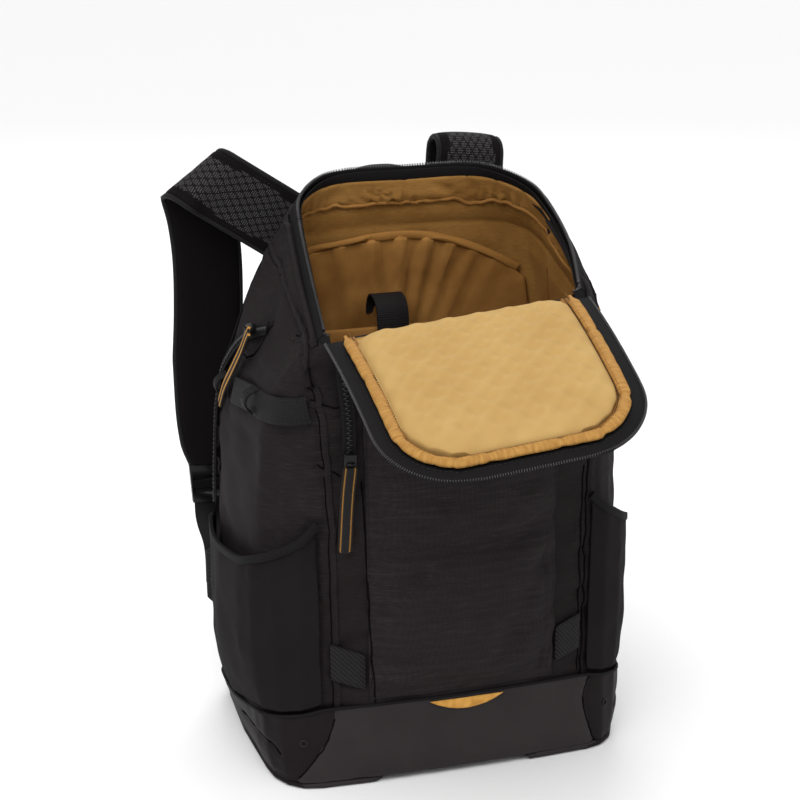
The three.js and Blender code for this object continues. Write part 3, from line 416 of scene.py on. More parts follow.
def row_of(name, small, at, x, y, z):
    """Copies of one small piece, each in its own place and turn, joined in one mesh."""
    mesh = small.data
    base = points_of(small)
    faces = [list(face.vertices) for face in mesh.polygons]
    copies = (at[:, None, :] + base[None, :, :1] * x[:, None, :] + base[None, :, 1:2] * y[:, None, :]
              + base[None, :, 2:] * z[:, None, :]).reshape(-1, 3)
    joined = [[v + k * len(base) for v in face] for k in range(len(at)) for face in faces]
    made = bpy.data.meshes.new(name)
    made.from_pydata(copies.tolist(), [], joined)
    piece = bpy.data.objects.new(name, made)
    bpy.context.scene.collection.objects.link(piece)
    bpy.data.objects.remove(small)
    return piece


def small_bead(size, segments=6, rings=4):
    """A long bead: the start of a stitch, a tooth or a woven rib."""
    bpy.ops.object.select_all(action="DESELECT")
    bpy.ops.mesh.primitive_uv_sphere_add(segments=segments, ring_count=rings, radius=0.5)
    only(bpy.context.object)
    bpy.ops.object.mode_set(mode="EDIT")
    bpy.ops.mesh.select_all(action="SELECT")
    bpy.ops.transform.resize(value=size)
    bpy.ops.object.mode_set(mode="OBJECT")
    return bpy.context.object


def stitches(name, run, side=0.0, lift=0.0, pitch=0.0034, thread=0.0007):
    """A line of stitches along a run, each one a short length of thread."""
    count = max(2, int(run["s"][-1] / pitch))
    pick = np.linspace(0, len(run["at"]) - 1, count)
    at, x, y, z = (between(run[key], pick) for key in ("at", "along", "across", "out"))
    at = at + y * side + z * lift
    return row_of(name, small_bead((pitch * 0.72, thread, thread * 0.8)), at, unit(x), unit(y), unit(z))


def finer_where(piece, chosen, cuts=1):
    """More faces on part of a piece, where it is gathered."""
    only(piece)
    bpy.ops.object.mode_set(mode="EDIT")
    bpy.ops.mesh.select_mode(type="FACE")
    bpy.ops.mesh.select_all(action="DESELECT")
    bpy.ops.object.mode_set(mode="OBJECT")
    points = points_of(piece)
    near = chosen(points)
    for face in piece.data.polygons:
        face.select = bool(near[list(face.vertices)].all())
    bpy.ops.object.mode_set(mode="EDIT")
    bpy.ops.mesh.subdivide(number_cuts=cuts)
    bpy.ops.object.mode_set(mode="OBJECT")


shell_low, shell_high = (np.array(corner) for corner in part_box("bag_shell"))


def on_shell(shares):
    """Places given as shares of the body's box, from its left, front and bottom."""
    return shell_low + np.array(shares) * (shell_high - shell_low)


corner_seam = on_shell([(0.176, 0.027, 0.10), (0.174, 0.034, 0.248), (0.172, 0.038, 0.382),
                        (0.167, 0.042, 0.513), (0.157, 0.043, 0.624), (0.139, 0.044, 0.725),
                        (0.126, 0.115, 0.795), (0.137, 0.356, 0.834), (0.147, 0.637, 0.872),
                        (0.150, 0.90, 0.905)])
body_seams = {
    "corner_left": corner_seam,
    "corner_right": on_shell([(0.848, 0.033, 0.10), (0.849, 0.039, 0.281), (0.849, 0.042, 0.419),
                              (0.853, 0.045, 0.544), (0.868, 0.044, 0.725), (0.888, 0.115, 0.84),
                              (0.905, 0.356, 0.88), (0.90, 0.637, 0.91), (0.89, 0.90, 0.935)]),
    "band_left": on_shell([(0.206, 0.759, 0.958), (0.192, 0.591, 0.921), (0.175, 0.384, 0.874),
                           (0.164, 0.211, 0.833), (0.157, 0.082, 0.805)]),
    "band_right": on_shell([(0.846, 0.759, 0.965), (0.858, 0.591, 0.945), (0.868, 0.384, 0.91),
                            (0.868, 0.211, 0.872), (0.860, 0.082, 0.845)]),
    "shoulder_left": on_shell([(0.125, 0.236, 0.807), (0.139, 0.158, 0.812), (0.152, 0.105, 0.811)]),
    "flap_upper": on_shell([(0.132, 0.047, 0.714), (0.177, 0.041, 0.699), (0.226, 0.037, 0.693)]),
    "flap_lower": on_shell([(0.146, 0.045, 0.592), (0.176, 0.042, 0.581), (0.207, 0.039, 0.568)]),
    "arch_left": on_shell([(0.10, 0.44, 0.80), (0.065, 0.527, 0.737), (0.050, 0.70, 0.715),
                           (0.040, 0.82, 0.66), (0.03, 0.88, 0.55), (0.02, 0.90, 0.42)]),
    "back_left": on_shell([(0.10, 0.97, 0.86), (0.05, 0.955, 0.70), (0.03, 0.95, 0.40), (0.03, 0.94, 0.06)]),
    "back_right": on_shell([(0.93, 0.97, 0.88), (0.95, 0.955, 0.70), (0.97, 0.95, 0.40), (0.97, 0.94, 0.06)]),
}

# Soft folds of the cloth beside the seams, as runs, with their width and depth in metres.
body_folds = [
    (on_shell([(0.176, 0.03, 0.345), (0.22, 0.03, 0.368), (0.262, 0.03, 0.372)]), 0.005, 0.0020),
    (on_shell([(0.180, 0.03, 0.232), (0.225, 0.03, 0.262), (0.268, 0.03, 0.268)]), 0.004, 0.0022),
    (on_shell([(0.178, 0.03, 0.205), (0.215, 0.03, 0.182), (0.265, 0.03, 0.180)]), 0.004, 0.0018),
    (on_shell([(0.836, 0.04, 0.345), (0.842, 0.04, 0.372), (0.850, 0.04, 0.392)]), 0.005, 0.0020),
    (on_shell([(0.834, 0.04, 0.285), (0.842, 0.04, 0.300), (0.850, 0.04, 0.305)]), 0.004, 0.0018),
    (on_shell([(0.05, 0.16, 0.50), (0.09, 0.10, 0.485), (0.155, 0.04, 0.478)]), 0.006, 0.0022),
    (on_shell([(0.04, 0.22, 0.43), (0.08, 0.12, 0.455), (0.15, 0.05, 0.462)]), 0.006, 0.0018),
    (on_shell([(0.11, 0.20, 0.78), (0.09, 0.17, 0.66), (0.085, 0.15, 0.54)]), 0.008, 0.0018),
]
seam_runs = [run_through(run, off_shell(run), 0.006) for run in body_seams.values()]
seam_places = np.vstack([run["at"] for run in seam_runs])
seam_lengths = np.concatenate([run["s"] for run in seam_runs])
rim_tree = surface_of(nodes["rim_zip"])


def along_nearest(points, at, s):
    """How far each point is from a run, and how far along the run its nearest place is."""
    nearest = np.concatenate([np.linalg.norm(part[:, None] - at[None], axis=2).argmin(1)
                              for part in np.array_split(points, max(1, len(points) // 3000))])
    return np.linalg.norm(points - at[nearest], axis=1), s[nearest]


def gap_to(tree, points):
    return np.array([tree.find_nearest(Vector(point))[3] for point in points])


def seam_gap_of(points):
    gap = np.full(len(points), 1.0)
    for run in body_seams.values():
        gap = np.minimum(gap, distance_to_run(points, run))
    return gap


body = cloth_copy("bag_shell", "body_cloth")
modify(body, "SUBSURF", subdivision_type="SIMPLE", levels=2, render_levels=2)
flat = points_of(body)
facing = normals_of(body)
middle = (shell_low + shell_high) / 2
outer = ((flat - middle)[:, :2] * facing[:, :2]).sum(1) > 0
rim_gap = gap_to(rim_tree, flat)
modify(body, "SMOOTH", factor=0.5, iterations=4)
skin = points_of(body)
still = ~outer | (rim_gap < 0.010)
skin[still] = flat[still]
set_points(body, skin)
facing = normals_of(body)
seam_gap = seam_gap_of(skin)
sewn_down = np.exp(-(seam_gap / 0.006) ** 2)
rim_share = np.clip((skin[:, 2] - shell_low[2]) / 0.02, 0, 1) * np.clip((rim_gap - 0.008) / 0.014, 0, 1)
inset = np.where(outer, 0.0026 + 0.0014 * sewn_down, 0) * rim_share
set_points(body, skin - facing * inset[:, None])
held = np.where(outer & (rim_share > 0.9), np.clip(sewn_down * 1.2, 0, 1), 1.0)
swell(body, np.round(held * 4) / 4, 0.0030, pressure=5.0, spare=0.025)
modify(body, "SUBSURF", levels=1, render_levels=1)
finer_where(body, lambda points: (seam_gap_of(points) < 0.009) & (gap_to(rim_tree, points) > 0.006), 1)
skin = points_of(body)
facing = normals_of(body)
outer = ((skin - middle)[:, :2] * facing[:, :2]).sum(1) > 0
seam_gap = seam_gap_of(skin)
near_seam, along_seam = along_nearest(skin, seam_places, seam_lengths)
pucker_pitch = 0.013
puckers = np.sin(along_seam * 2 * math.pi / pucker_pitch + 1.5 * np.sin(along_seam * 47))
puckers *= np.exp(-near_seam / 0.011)
creases = 0.0016 * ripple(skin, 0.06, 4, (1, 1, 1.6)) + 0.0008 * ripple(skin, 0.022, 7, (0.5, 0.5, 1.6))
groove = 0.0024 * np.exp(-(seam_gap / 0.0022) ** 2) - 0.0006 * np.exp(-((seam_gap - 0.005) / 0.003) ** 2)
for run, wide, deep in body_folds:
    gap = distance_to_run(skin, run)
    groove += deep * (np.exp(-(gap / wide) ** 2) - 0.45 * np.exp(-((gap - 2.2 * wide) / wide) ** 2))
free = np.clip((gap_to(rim_tree, skin) - 0.004) / 0.01, 0, 1)
pressed = np.where(outer, np.clip(creases + 0.0007 * puckers, -0.0009, 0.0022) + groove, 0) * free
set_points(body, skin - facing * pressed[:, None])
dress(body, body_black, "black_cloth", "bag_shell")

thread_black = material("thread_black", (0.0145, 0.0132, 0.0136), 0.6, Specular_IOR_Level=0.15)
body_tree = surface_of(body)


def laid_on(tree, points, step):
    """A run that follows a surface."""
    rough = run_through(points, off_shell(points), step)
    hits = [tree.find_nearest(Vector(point)) for point in rough["at"]]
    out = np.array([hit[1] for hit in hits])
    for _ in range(4):
        out = unit(np.vstack([out[:1], (out[:-2] + 2 * out[1:-1] + out[2:]), out[-1:]]))
    return run_through(np.array([hit[0] for hit in hits]), out, step)


# Near-black strips laid in the seams and slits: painted shade where the cloth pulls in, darker than the cloth
# beside them.
seam_shade_black = material("seam_shade_black", (0.0045, 0.0038, 0.0040), 0.9, Specular_IOR_Level=0.0)
seam_tree = seam_shade_black.node_tree
seam_cloud = put(seam_tree, "ShaderNodeTexNoise", {"Scale": 300.0})
paint(seam_shade_black, shades(seam_tree, seam_cloud, [(0.3, (0.0038, 0.0032, 0.0034)),
                                                 (0.7, (0.0055, 0.0046, 0.0048))]))

# Each body seam: a raised welt, a near-black strip of painted shade along its groove, and its stitches.
for name, points in body_seams.items():
    seam = laid_on(body_tree, points, 0.003)
    welt = carried(f"seam_welt_{name}", seam, bar(0.0026, -0.0016, 0.0014, 0.0006) + np.array([0.0030, 0]))
    dress(welt, body_black, "black_cloth")
    dress(carried(f"seam_line_{name}", seam, bar(0.0006, -0.0016, 0.0007, 0.0002)), seam_shade_black, "black_cloth")
    dress(stitches(f"seam_stitches_{name}", seam, 0.0040, 0.0014), thread_black, "black_cloth")

# The front pocket. A flat panel of ripstop with small woven lozenges, sewn in down both sides, that
# bags out over the lower half and creases where it is sewn.
ripstop_black = material("ripstop_black", (0.013, 0.012, 0.0123), 0.78, Specular_IOR_Level=0.12)
ripstop_tree = ripstop_black.node_tree
place, level, height, weave = weave_parts(ripstop_tree, 0.0013)
yarn = slub(ripstop_tree, place, 0.014, 0.00045)
lean = maths(ripstop_tree, "MULTIPLY", height, 0.55)
lozenge_turns = 780
rising = wave(ripstop_tree, maths(ripstop_tree, "ADD", level, lean), lozenge_turns)
falling = wave(ripstop_tree, maths(ripstop_tree, "SUBTRACT", level, lean), lozenge_turns)
lozenge = maths(ripstop_tree, "GREATER_THAN", maths(ripstop_tree, "MULTIPLY", rising, falling), 0.12)
# The woven lozenges are sunk in by the bump and painted darker: painted shade in their hollows.
tone = maths(ripstop_tree, "SUBTRACT", yarn, maths(ripstop_tree, "MULTIPLY", lozenge, 0.10))
paint(ripstop_black, shades(ripstop_tree, tone, [(0.30, (0.0125, 0.0096, 0.0103)),
                                                 (0.54, (0.0175, 0.0139, 0.0147)),
                                                 (0.70, (0.0290, 0.0238, 0.0248))]))
ripstop_yarn = maths(ripstop_tree, "MULTIPLY", yarn, 2.0)
ripstop_height = maths(ripstop_tree, "SUBTRACT", maths(ripstop_tree, "ADD", weave, ripstop_yarn),
                       maths(ripstop_tree, "MULTIPLY", lozenge, 1.6))
emboss(ripstop_black, ripstop_height, 0.00022, 0.6)

pocket = cloth_copy("front_pocket", "pocket_cloth")
divide(pocket, 2, 3)
pocket_low, pocket_high = (np.array(corner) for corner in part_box("front_pocket"))
skin = points_of(pocket)
facing = normals_of(pocket)
shares = (skin - pocket_low) / (pocket_high - pocket_low)
front = facing[:, 1] < -0.3
pocket_wide, pocket_tall, hem_of_pocket = 0.16, 0.29, 0.004
edge = np.minimum(np.minimum(shares[:, 0], 1 - shares[:, 0]) * pocket_wide,
                  np.minimum(shares[:, 2], 1 - shares[:, 2]) * pocket_tall)
held = np.where(front & (edge > hem_of_pocket), 0, 1.0)
set_points(pocket, skin - facing * np.where(front, 0.0022, 0)[:, None])
swell(pocket, held, 0.0045, pressure=5.0, spare=0.035)
modify(pocket, "SUBSURF", levels=1, render_levels=1)

# Creases of the pocket, as shares of its box: a run, its width and its depth in metres.
pocket_creases = [
    {"run": [(0.02, 0.40), (0.20, 0.455), (0.45, 0.44), (0.70, 0.435), (0.97, 0.47)],
     "wide": 0.010, "deep": 0.0058},
    {"run": [(0.02, 0.22), (0.14, 0.30), (0.30, 0.36)], "wide": 0.007, "deep": 0.0036},
    {"run": [(0.02, 0.31), (0.12, 0.345), (0.26, 0.36)], "wide": 0.008, "deep": 0.0030},
    {"run": [(0.70, 0.10), (0.80, 0.26), (0.90, 0.36)], "wide": 0.010, "deep": 0.0034},
    {"run": [(0.905, 0.0), (0.905, 0.25), (0.91, 0.46)], "wide": 0.0022, "deep": 0.0016},
    {"run": [(0.05, 0.14), (0.30, 0.10), (0.60, 0.12)], "wide": 0.016, "deep": 0.0014},
]


def across_front(piece, runs):
    """How deep a set of creases presses a front panel, and the panel's points."""
    points = points_of(piece)
    low, high = points.min(0), points.max(0)
    flat = points[:, [0, 2]]
    depth = np.zeros(len(points))
    for crease in runs:
        run = low[[0, 2]] + np.array(crease["run"]) * (high - low)[[0, 2]]
        depth += crease["deep"] * np.exp(-(distance_to_run(flat, run) / crease["wide"]) ** 2)
    return points, depth


skin, depth = across_front(pocket, pocket_creases)
facing = normals_of(pocket)
front = np.clip(-facing[:, 1], 0, 1)
depth += 0.0009 * ripple(skin, 0.034, 12, (0.8, 1, 1.5)) + 0.0003 * ripple(skin, 0.012, 15, (0.5, 1, 1.6))
shares = (skin - pocket_low) / (pocket_high - pocket_low)
belly = np.clip(np.minimum(shares[:, 0], 1 - shares[:, 0]) / 0.16, 0, 1) ** 0.7
belly *= np.clip(shares[:, 2] / 0.07, 0, 1) * (0.0035 + 0.0045 * np.exp(-((shares[:, 2] - 0.24) / 0.2) ** 2))
set_points(pocket, skin + facing * (np.maximum(belly - depth, -0.0004) * front)[:, None])
dress(pocket, ripstop_black, "black_cloth", "front_pocket")
front_faces = [list(face.vertices) for face in body.data.polygons]
front_faces += [[v + len(body.data.vertices) for v in face.vertices] for face in pocket.data.polygons]
front_points = [Vector(point) for point in np.vstack([points_of(body), points_of(pocket)])]
front_tree = BVHTree.FromPolygons(front_points, front_faces)


def laid_from_front(tree, points, step):
    """A run on the foremost surface, found by looking at it from the front."""
    rough = run_through(points, [(0, -1, 0)] * len(points), step)
    hits = [tree.ray_cast(Vector(point) - Vector((0, 0.04, 0)), Vector((0, 1, 0))) for point in rough["at"]]
    return run_through([hit[0] for hit in hits], [(0, -1, 0)] * len(hits), step)


pocket_edges = {
    "left": [(0.254, 0.035, 0.56), (0.263, 0.031, 0.413), (0.270, 0.011, 0.263), (0.282, 0.020, 0.134)],
    "right": [(0.838, 0.045, 0.544), (0.834, 0.042, 0.419), (0.834, 0.039, 0.281), (0.833, 0.033, 0.141)],
}
for side, shares in pocket_edges.items():
    seam = laid_from_front(front_tree, on_shell(shares), 0.004)
    # A near-black strip of painted shade along the pocket's seam.
    line = carried(f"pocket_seam_shade_{side}", seam, bar(0.0006, -0.0016, 0.0006, 0.0002))
    dress(line, seam_shade_black, "black_cloth")
    way = 1 if side == "left" else -1
    turned = np.sign((seam["across"][:, 0]).mean()) * way
    dress(stitches(f"pocket_stitches_{side}", seam, turned * 0.0036, 0.0004), thread_black, "black_cloth")

# The side pockets. One layer of plain stretch cloth each, gathered by an elastic band in its slanted
# mouth, so that it stands off the bag and puckers below the band.
def mouth_points(node, least):
    """The middle of a thin wall's upper edge, from its front to its back."""
    mesh = nodes[node].data
    low, high = (corner.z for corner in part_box(node))
    rim = {v for face in mesh.polygons if face.normal.z > 0.55 for v in face.vertices
           if mesh.vertices[v].co.z > low + least * (high - low)}
    points = np.unique(np.round([mesh.vertices[v].co for v in rim], 6), axis=0)
    points = points[np.argsort(-points[:, 2])]
    groups = np.split(points, np.flatnonzero(-np.diff(points[:, 2]) > 0.0003) + 1)
    return np.array([group.mean(0) for group in groups])


stretch_black = material("stretch_black", (0.0095, 0.0078, 0.0083), 0.85, Specular_IOR_Level=0.08)
stretch_tree = stretch_black.node_tree
place, level, height, weave = weave_parts(stretch_tree, 0.0011)
stretch_cloud = put(stretch_tree, "ShaderNodeTexNoise", {"Vector": place, "Scale": 18.0, "Detail": 3.0})
paint(stretch_black, shades(stretch_tree, stretch_cloud, [(0.3, (0.0086, 0.0070, 0.0075)),
                                                          (0.7, (0.0108, 0.0090, 0.0095))]))
emboss(stretch_black, weave, 0.00015, 0.35)
elastic_black = material("elastic_black", (0.0075, 0.0066, 0.0068), 0.75, Specular_IOR_Level=0.1)
elastic_tree = elastic_black.node_tree
band_uv = put(elastic_tree, "ShaderNodeUVMap")
band_split = elastic_tree.nodes.new("ShaderNodeSeparateXYZ")
elastic_tree.links.new(band_uv, band_split.inputs[0])
elastic_turns = 3600
emboss(elastic_black, wave(elastic_tree, band_split.outputs[0], elastic_turns), 0.0002, 0.6)

for side in ("left", "right"):
    pocket = cloth_copy(f"side_pocket_{side}", f"side_pocket_cloth_{side}")
    divide(pocket, 3, 5)
    mouth = mouth_points(f"side_pocket_{side}", 0.45)
    mouth_run = run_through(mouth, off_shell(mouth), 0.004)
    skin = points_of(pocket)
    facing = normals_of(pocket)
    below = distance_to_run(skin, mouth_run["at"])
    nearest = np.linalg.norm(skin[:, None] - mouth_run["at"][None, ::3], axis=2).argmin(1)
    along_mouth = mouth_run["s"][::3][nearest]
    way_out = off_shell(skin)
    outer = (facing * way_out).sum(1)
    gather_pitch = 0.0105
    gathers = np.sin(along_mouth * 2 * math.pi / gather_pitch + 1.4 * np.sin(along_mouth * 90))
    gathers *= np.exp(-below / 0.018)
    folds = 0.0011 * gathers + 0.0009 * ripple(skin, 0.05, 21, (1, 1, 0.7)) + 0.0004 * ripple(skin, 0.018, 22)
    inside = np.clip(np.minimum(below / 0.006, 1), 0, 1)
    pressed = np.clip(folds + 0.0004, -0.0009, 0.002) * inside * (np.abs(outer) > 0.4)
    set_points(pocket, skin - way_out * pressed[:, None])
    dress(pocket, stretch_black, "black_cloth", f"side_pocket_{side}")
    mouth_run["out"] = unit(mouth_run["out"] * np.array([1, 1, 0]))
    mouth_run["across"] = unit(np.cross(mouth_run["along"], mouth_run["out"]))
    down_way = -1 if mouth_run["across"][:, 2].mean() > 0 else 1
    band_section = bar(0.0032, -0.0018, 0.0018, 0.0007) + np.array([down_way * 0.0018, 0])
    band = carried(f"side_pocket_band_{side}", mouth_run, band_section)
    dress(band, elastic_black, "black_webbing")

# The coated base. A tray of stiff coated cloth that the bag stands in, with a matte piece round each
# side sewn to the shinier front along a curve, a corded edge on top, and a small eyelet at each corner.
# The front's shine is painted in as a lighter colour than the sides'.
coated_front = material("coated_front", (0.027, 0.0232, 0.0240), 0.5, Specular_IOR_Level=0.05)
coated_tree = coated_front.node_tree
coated_place = object_place(coated_tree)
coated_grain = put(coated_tree, "ShaderNodeTexNoise", {"Vector": coated_place, "Scale": 900.0, "Detail": 2.0})
coated_cloud = put(coated_tree, "ShaderNodeTexNoise", {"Vector": coated_place, "Scale": 22.0, "Detail": 3.0})
panel = coated_tree.nodes.new("ShaderNodeAttribute")
panel.attribute_name = "side_panel"
is_side = maths(coated_tree, "GREATER_THAN", panel.outputs["Fac"], 0.5)
# The front is lighter than the matte sides: its own tone, with its sheen painted in as colour.
front_tone_and_sheen = shades(coated_tree, coated_cloud, [(0.3, (0.0255, 0.0218, 0.0226)),
                                                (0.7, (0.0305, 0.0265, 0.0272))])
side_tone = shades(coated_tree, coated_cloud, [(0.3, (0.0098, 0.0076, 0.0081)),
                                               (0.7, (0.0125, 0.0100, 0.0106))])
mixed = coated_tree.nodes.new("ShaderNodeMix")
mixed.data_type = "RGBA"
for socket, value in ((0, is_side), (6, front_tone_and_sheen), (7, side_tone)):
    coated_tree.links.new(value, mixed.inputs[socket])
paint(coated_front, mixed.outputs[2])
emboss(coated_front, coated_grain, 0.00012, 0.35)

boot = cloth_copy("base_boot", "base_cloth")
modify(boot, "SUBSURF", subdivision_type="SIMPLE", levels=3, render_levels=3)
flat = points_of(boot)
modify(boot, "SMOOTH", factor=0.5, iterations=4)
skin = points_of(boot)
still = flat[:, 2] < 0.011
skin[still] = flat[still]
set_points(boot, skin)
skin = points_of(boot)
facing = normals_of(boot)
base_low, base_high = (np.array(corner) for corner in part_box("base_boot"))
# Seams and slits of the base, in millimetres from the origin.
boot_lines = {
    "left": [(-94, -41, 70), (-94, -41, 58.5), (-100, -42, 41.5), (-108, -41, 28.6), (-122.5, -36.6, 9)],
    "right": [(121, -39, 75), (120, -39, 66), (114, -41.5, 45.5), (120, -42, 22), (126, -41, 6)],
    "slit_left": [(-147.5, 53.4, 28.4), (-146, 11.7, 33.3), (-141.6, -14, 33.1), (-135.4, -24.5, 26.9)],
    "slit_right": [(158, 53.4, 28.4), (157, 11.7, 33.3), (153, -14, 33.1), (147, -24.5, 26.9)],
}
boot_seams = {name: np.array(line) / 1000 for name, line in boot_lines.items()}
middle_of_base = (base_low + base_high) / 2
outward = ((skin - middle_of_base)[:, :2] * facing[:, :2]).sum(1) > 0
pressed = np.zeros(len(skin))
for run in boot_seams.values():
    pressed += 0.0016 * np.exp(-(distance_to_run(skin, run) / 0.0022) ** 2)
pressed += 0.0005 * np.maximum(ripple(skin, 0.045, 31), -0.4)
pressed += 0.0003 * np.maximum(ripple(skin, 0.016, 33), -0.5)
set_points(boot, skin - facing * (np.maximum(pressed, -0.0004) * outward)[:, None])


def side_share(piece):
    """Marks the matte side pieces of the base, which start at the curved corner seams."""
    points = points_of(piece)
    marked = piece.data.attributes.new("side_panel", "FLOAT", "POINT")
    left, right = boot_seams["left"], boot_seams["right"]
    left_edge = np.interp(-points[:, 2], -left[:, 2], left[:, 0])
    right_edge = np.interp(-points[:, 2], -right[:, 2], right[:, 0])
    past = np.maximum(left_edge - points[:, 0], points[:, 0] - right_edge)
    past = np.maximum(past, (points[:, 1] + 0.02) * (points[:, 2] > 0.004))
    marked.data.foreach_set("value", np.clip(0.5 + past / 0.004, 0, 1).astype(np.float32))


side_share(boot)
dress(boot, coated_front, "coated_cloth", "base_boot")
base_tree = surface_of(boot)
for name, run in boot_seams.items():
    line = laid_on(base_tree, run[1:] if name in ("left", "right") else run, 0.003)
    # A near-black strip of painted shade along each seam and slit of the base.
    base_seam_shade_line = carried(f"base_seam_shade_{name}", line, bar(0.0006, -0.0012, 0.0005, 0.0002))
    dress(base_seam_shade_line, seam_shade_black, "coated_cloth")

for side in ("left", "right"):
    foot = cloth_copy(f"foot_{side}", f"base_foot_{side}")
    divide(foot, 1, 1)
    side_share(foot)
    dress(foot, coated_front, "coated_cloth", f"foot_{side}")


def ring_points(node, above):
    """The outer line of a tray's upper edge, all the way round."""
    mesh = nodes[node].data
    rim = {v for face in mesh.polygons if face.normal.z > 0.55 for v in face.vertices
           if mesh.vertices[v].co.z > above and shell_tree.find_nearest(mesh.vertices[v].co)[3] > 0.0014}
    points = np.unique(np.round([mesh.vertices[v].co for v in rim], 6), axis=0)
    centre = points.mean(0)
    points = points[np.argsort(np.arctan2(points[:, 1] - centre[1], points[:, 0] - centre[0]))]
    apart = np.linalg.norm(points - np.roll(points, 1, axis=0), axis=1)
    return points[apart > 0.002]


edge = ring_points("base_boot", 0.01)
edge_run = run_through(edge, off_shell(edge), 0.003, closed=True)
cord = carried("base_edge_cord", edge_run, tube(0.0013, 0.0012, -0.0006, 10))
dress(cord, elastic_black, "coated_cloth")

for side, place in (("left", (-118.4, -38.0, 39.9)), ("right", (137.0, -38.0, 38.0))):
    point = Vector(place) / 1000
    seat, way, *_ = base_tree.find_nearest(point)
    turn = way.to_track_quat("Z", "Y").to_euler()
    bpy.ops.object.select_all(action="DESELECT")
    bpy.ops.mesh.primitive_torus_add(location=seat + way * 0.0003, rotation=turn, major_radius=0.0026,
                                     minor_radius=0.0007, major_segments=24, minor_segments=8)
    eyelet = bpy.context.object
    eyelet.name = f"eyelet_{side}"
    bpy.ops.object.transform_apply(location=True, rotation=True, scale=True)
    dress(eyelet, thread_black, "black_plastic")

# The accent. A half-moon of orange woven tape, sewn into the seam over the middle of the base. It is
# left bare.
orange_tape = material("orange_tape", (0.56, 0.27, 0.045), 0.7, Specular_IOR_Level=0.3)
orange_tree = orange_tape.node_tree
place, level, height, weave = weave_parts(orange_tree, 0.0011)
orange_cloud = put(orange_tree, "ShaderNodeTexNoise", {"Vector": place, "Scale": 160.0, "Detail": 2.0})
paint(orange_tape, shades(orange_tree, orange_cloud, [(0.3, (0.47, 0.215, 0.032)),
                                                      (0.7, (0.66, 0.34, 0.07))]))
emboss(orange_tape, weave, 0.0002, 0.5)
accent = cloth_copy("accent_tab", "accent_cloth")
divide(accent, 1, 1)
dress(accent, orange_tape, "orange_weave", "accent_tab")

# The zips. Each is a woven black tape, sewn down on both sides, with a coil of nylon teeth along its
# middle. Where the lid is open, each half of its zip shows one row of teeth on the edge of its tape.
zip_tape = material("zip_tape", (0.0078, 0.0070, 0.0073), 0.78, Specular_IOR_Level=0.1)
tape_tree = zip_tape.node_tree
tape_split = tape_tree.nodes.new("ShaderNodeSeparateXYZ")
tape_tree.links.new(put(tape_tree, "ShaderNodeUVMap"), tape_split.inputs[0])
tape_turns = 7000
tape_rib = maths(tape_tree, "MULTIPLY", wave(tape_tree, tape_split.outputs[0], tape_turns),
                 wave(tape_tree, tape_split.outputs[1], tape_turns))
emboss(zip_tape, tape_rib, 0.00015, 0.5)
# The open rows of teeth are black, coloured grey here as painted glints.
coil_glint_grey = material("coil_glint_grey", (0.035, 0.033, 0.034), 0.26, Specular_IOR_Level=0.6)
coil_black = material("coil_black", (0.012, 0.0115, 0.012), 0.34, Specular_IOR_Level=0.4)


def rings_of(node):
    """The cross-sections of a lofted CAD node, from one end to the other."""
    mesh = bmesh.new()
    mesh.from_mesh(nodes[node].data)
    bmesh.ops.remove_doubles(mesh, verts=mesh.verts, dist=1e-6)
    mesh.verts.index_update()

    def off_centre(v):
        around = [edge.other_vert(v).co for edge in v.link_edges]
        return (v.co - sum(around, Vector()) / len(around)).length

    cap = min(mesh.verts, key=off_centre)
    ring = {edge.other_vert(cap) for edge in cap.link_edges}
    seen = {cap} | ring
    found = []
    while len(ring) > 1:
        found.append(np.array([v.co for v in sorted(ring, key=lambda v: v.index)]))
        ring = {edge.other_vert(v) for v in ring for edge in v.link_edges} - seen
        seen |= ring
    mesh.free()
    return found


def node_run(node, step, upwards=False):
    """The run of a lofted CAD node, with its half width and how far its two faces lie from its middle."""
    rings = rings_of(node)
    if upwards == (rings[0].mean(0)[2] > rings[-1].mean(0)[2]):
        rings = rings[::-1]
    at = np.array([ring.mean(0) for ring in rings])
    along = unit(np.gradient(at, axis=0))
    across = []
    for ring, middle, way in zip(rings, at, along):
        spread = ring - middle
        spread = spread - np.outer(spread @ way, way)
        across.append(np.linalg.svd(spread)[2][0])
        if len(across) > 1 and across[-1] @ across[-2] < 0:
            across[-1] = -across[-1]
    across = np.array(across)
    out = np.cross(across, along)
    if (out * off_shell(at)).sum() < 0:
        out, across = -out, -across
    half = [np.abs((ring - middle) @ wide).max() for ring, middle, wide in zip(rings, at, across)]
    levels = [(ring - middle) @ way for ring, middle, way in zip(rings, at, out)]
    run = run_through(at, out, step, across=across, half=half)
    run["low"] = float(np.median([level.min() for level in levels]))
    run["high"] = float(np.median([level.max() for level in levels]))
    return run


def closed_zip(name, node, slot, coil, pitch=0.0019):
    run = node_run(node, 0.004)
    half = float(np.median(run["half"]))
    tape = carried(name + "_tape", run, bar(half, run["low"], run["low"] + 0.0013, 0.0003))
    dress(tape, zip_tape, slot, node)
    count = int(run["s"][-1] / pitch)
    pick = np.linspace(0, len(run["at"]) - 1, count)
    at, x, y, z = (between(run[key], pick) for key in ("at", "along", "across", "out"))
    swing = np.where(np.arange(count) % 2, 1, -1)[:, None]
    at = at + y * 0.0006 * swing + z * (run["low"] + 0.0019)
    lean = unit(y + x * 0.25 * swing)
    tooth = small_bead((0.0034, pitch * 0.8, 0.0017))
    teeth = row_of(name + "_teeth", tooth, at, lean, unit(np.cross(z, lean)), unit(z))
    dress(teeth, coil, slot)
    for edge, way in (("inner", -1), ("outer", 1)):
        seam = stitches(f"{name}_{edge}_stitches", run, way * (half - 0.0014), run["low"] + 0.0014)
        dress(seam, thread_black, slot)
    return run


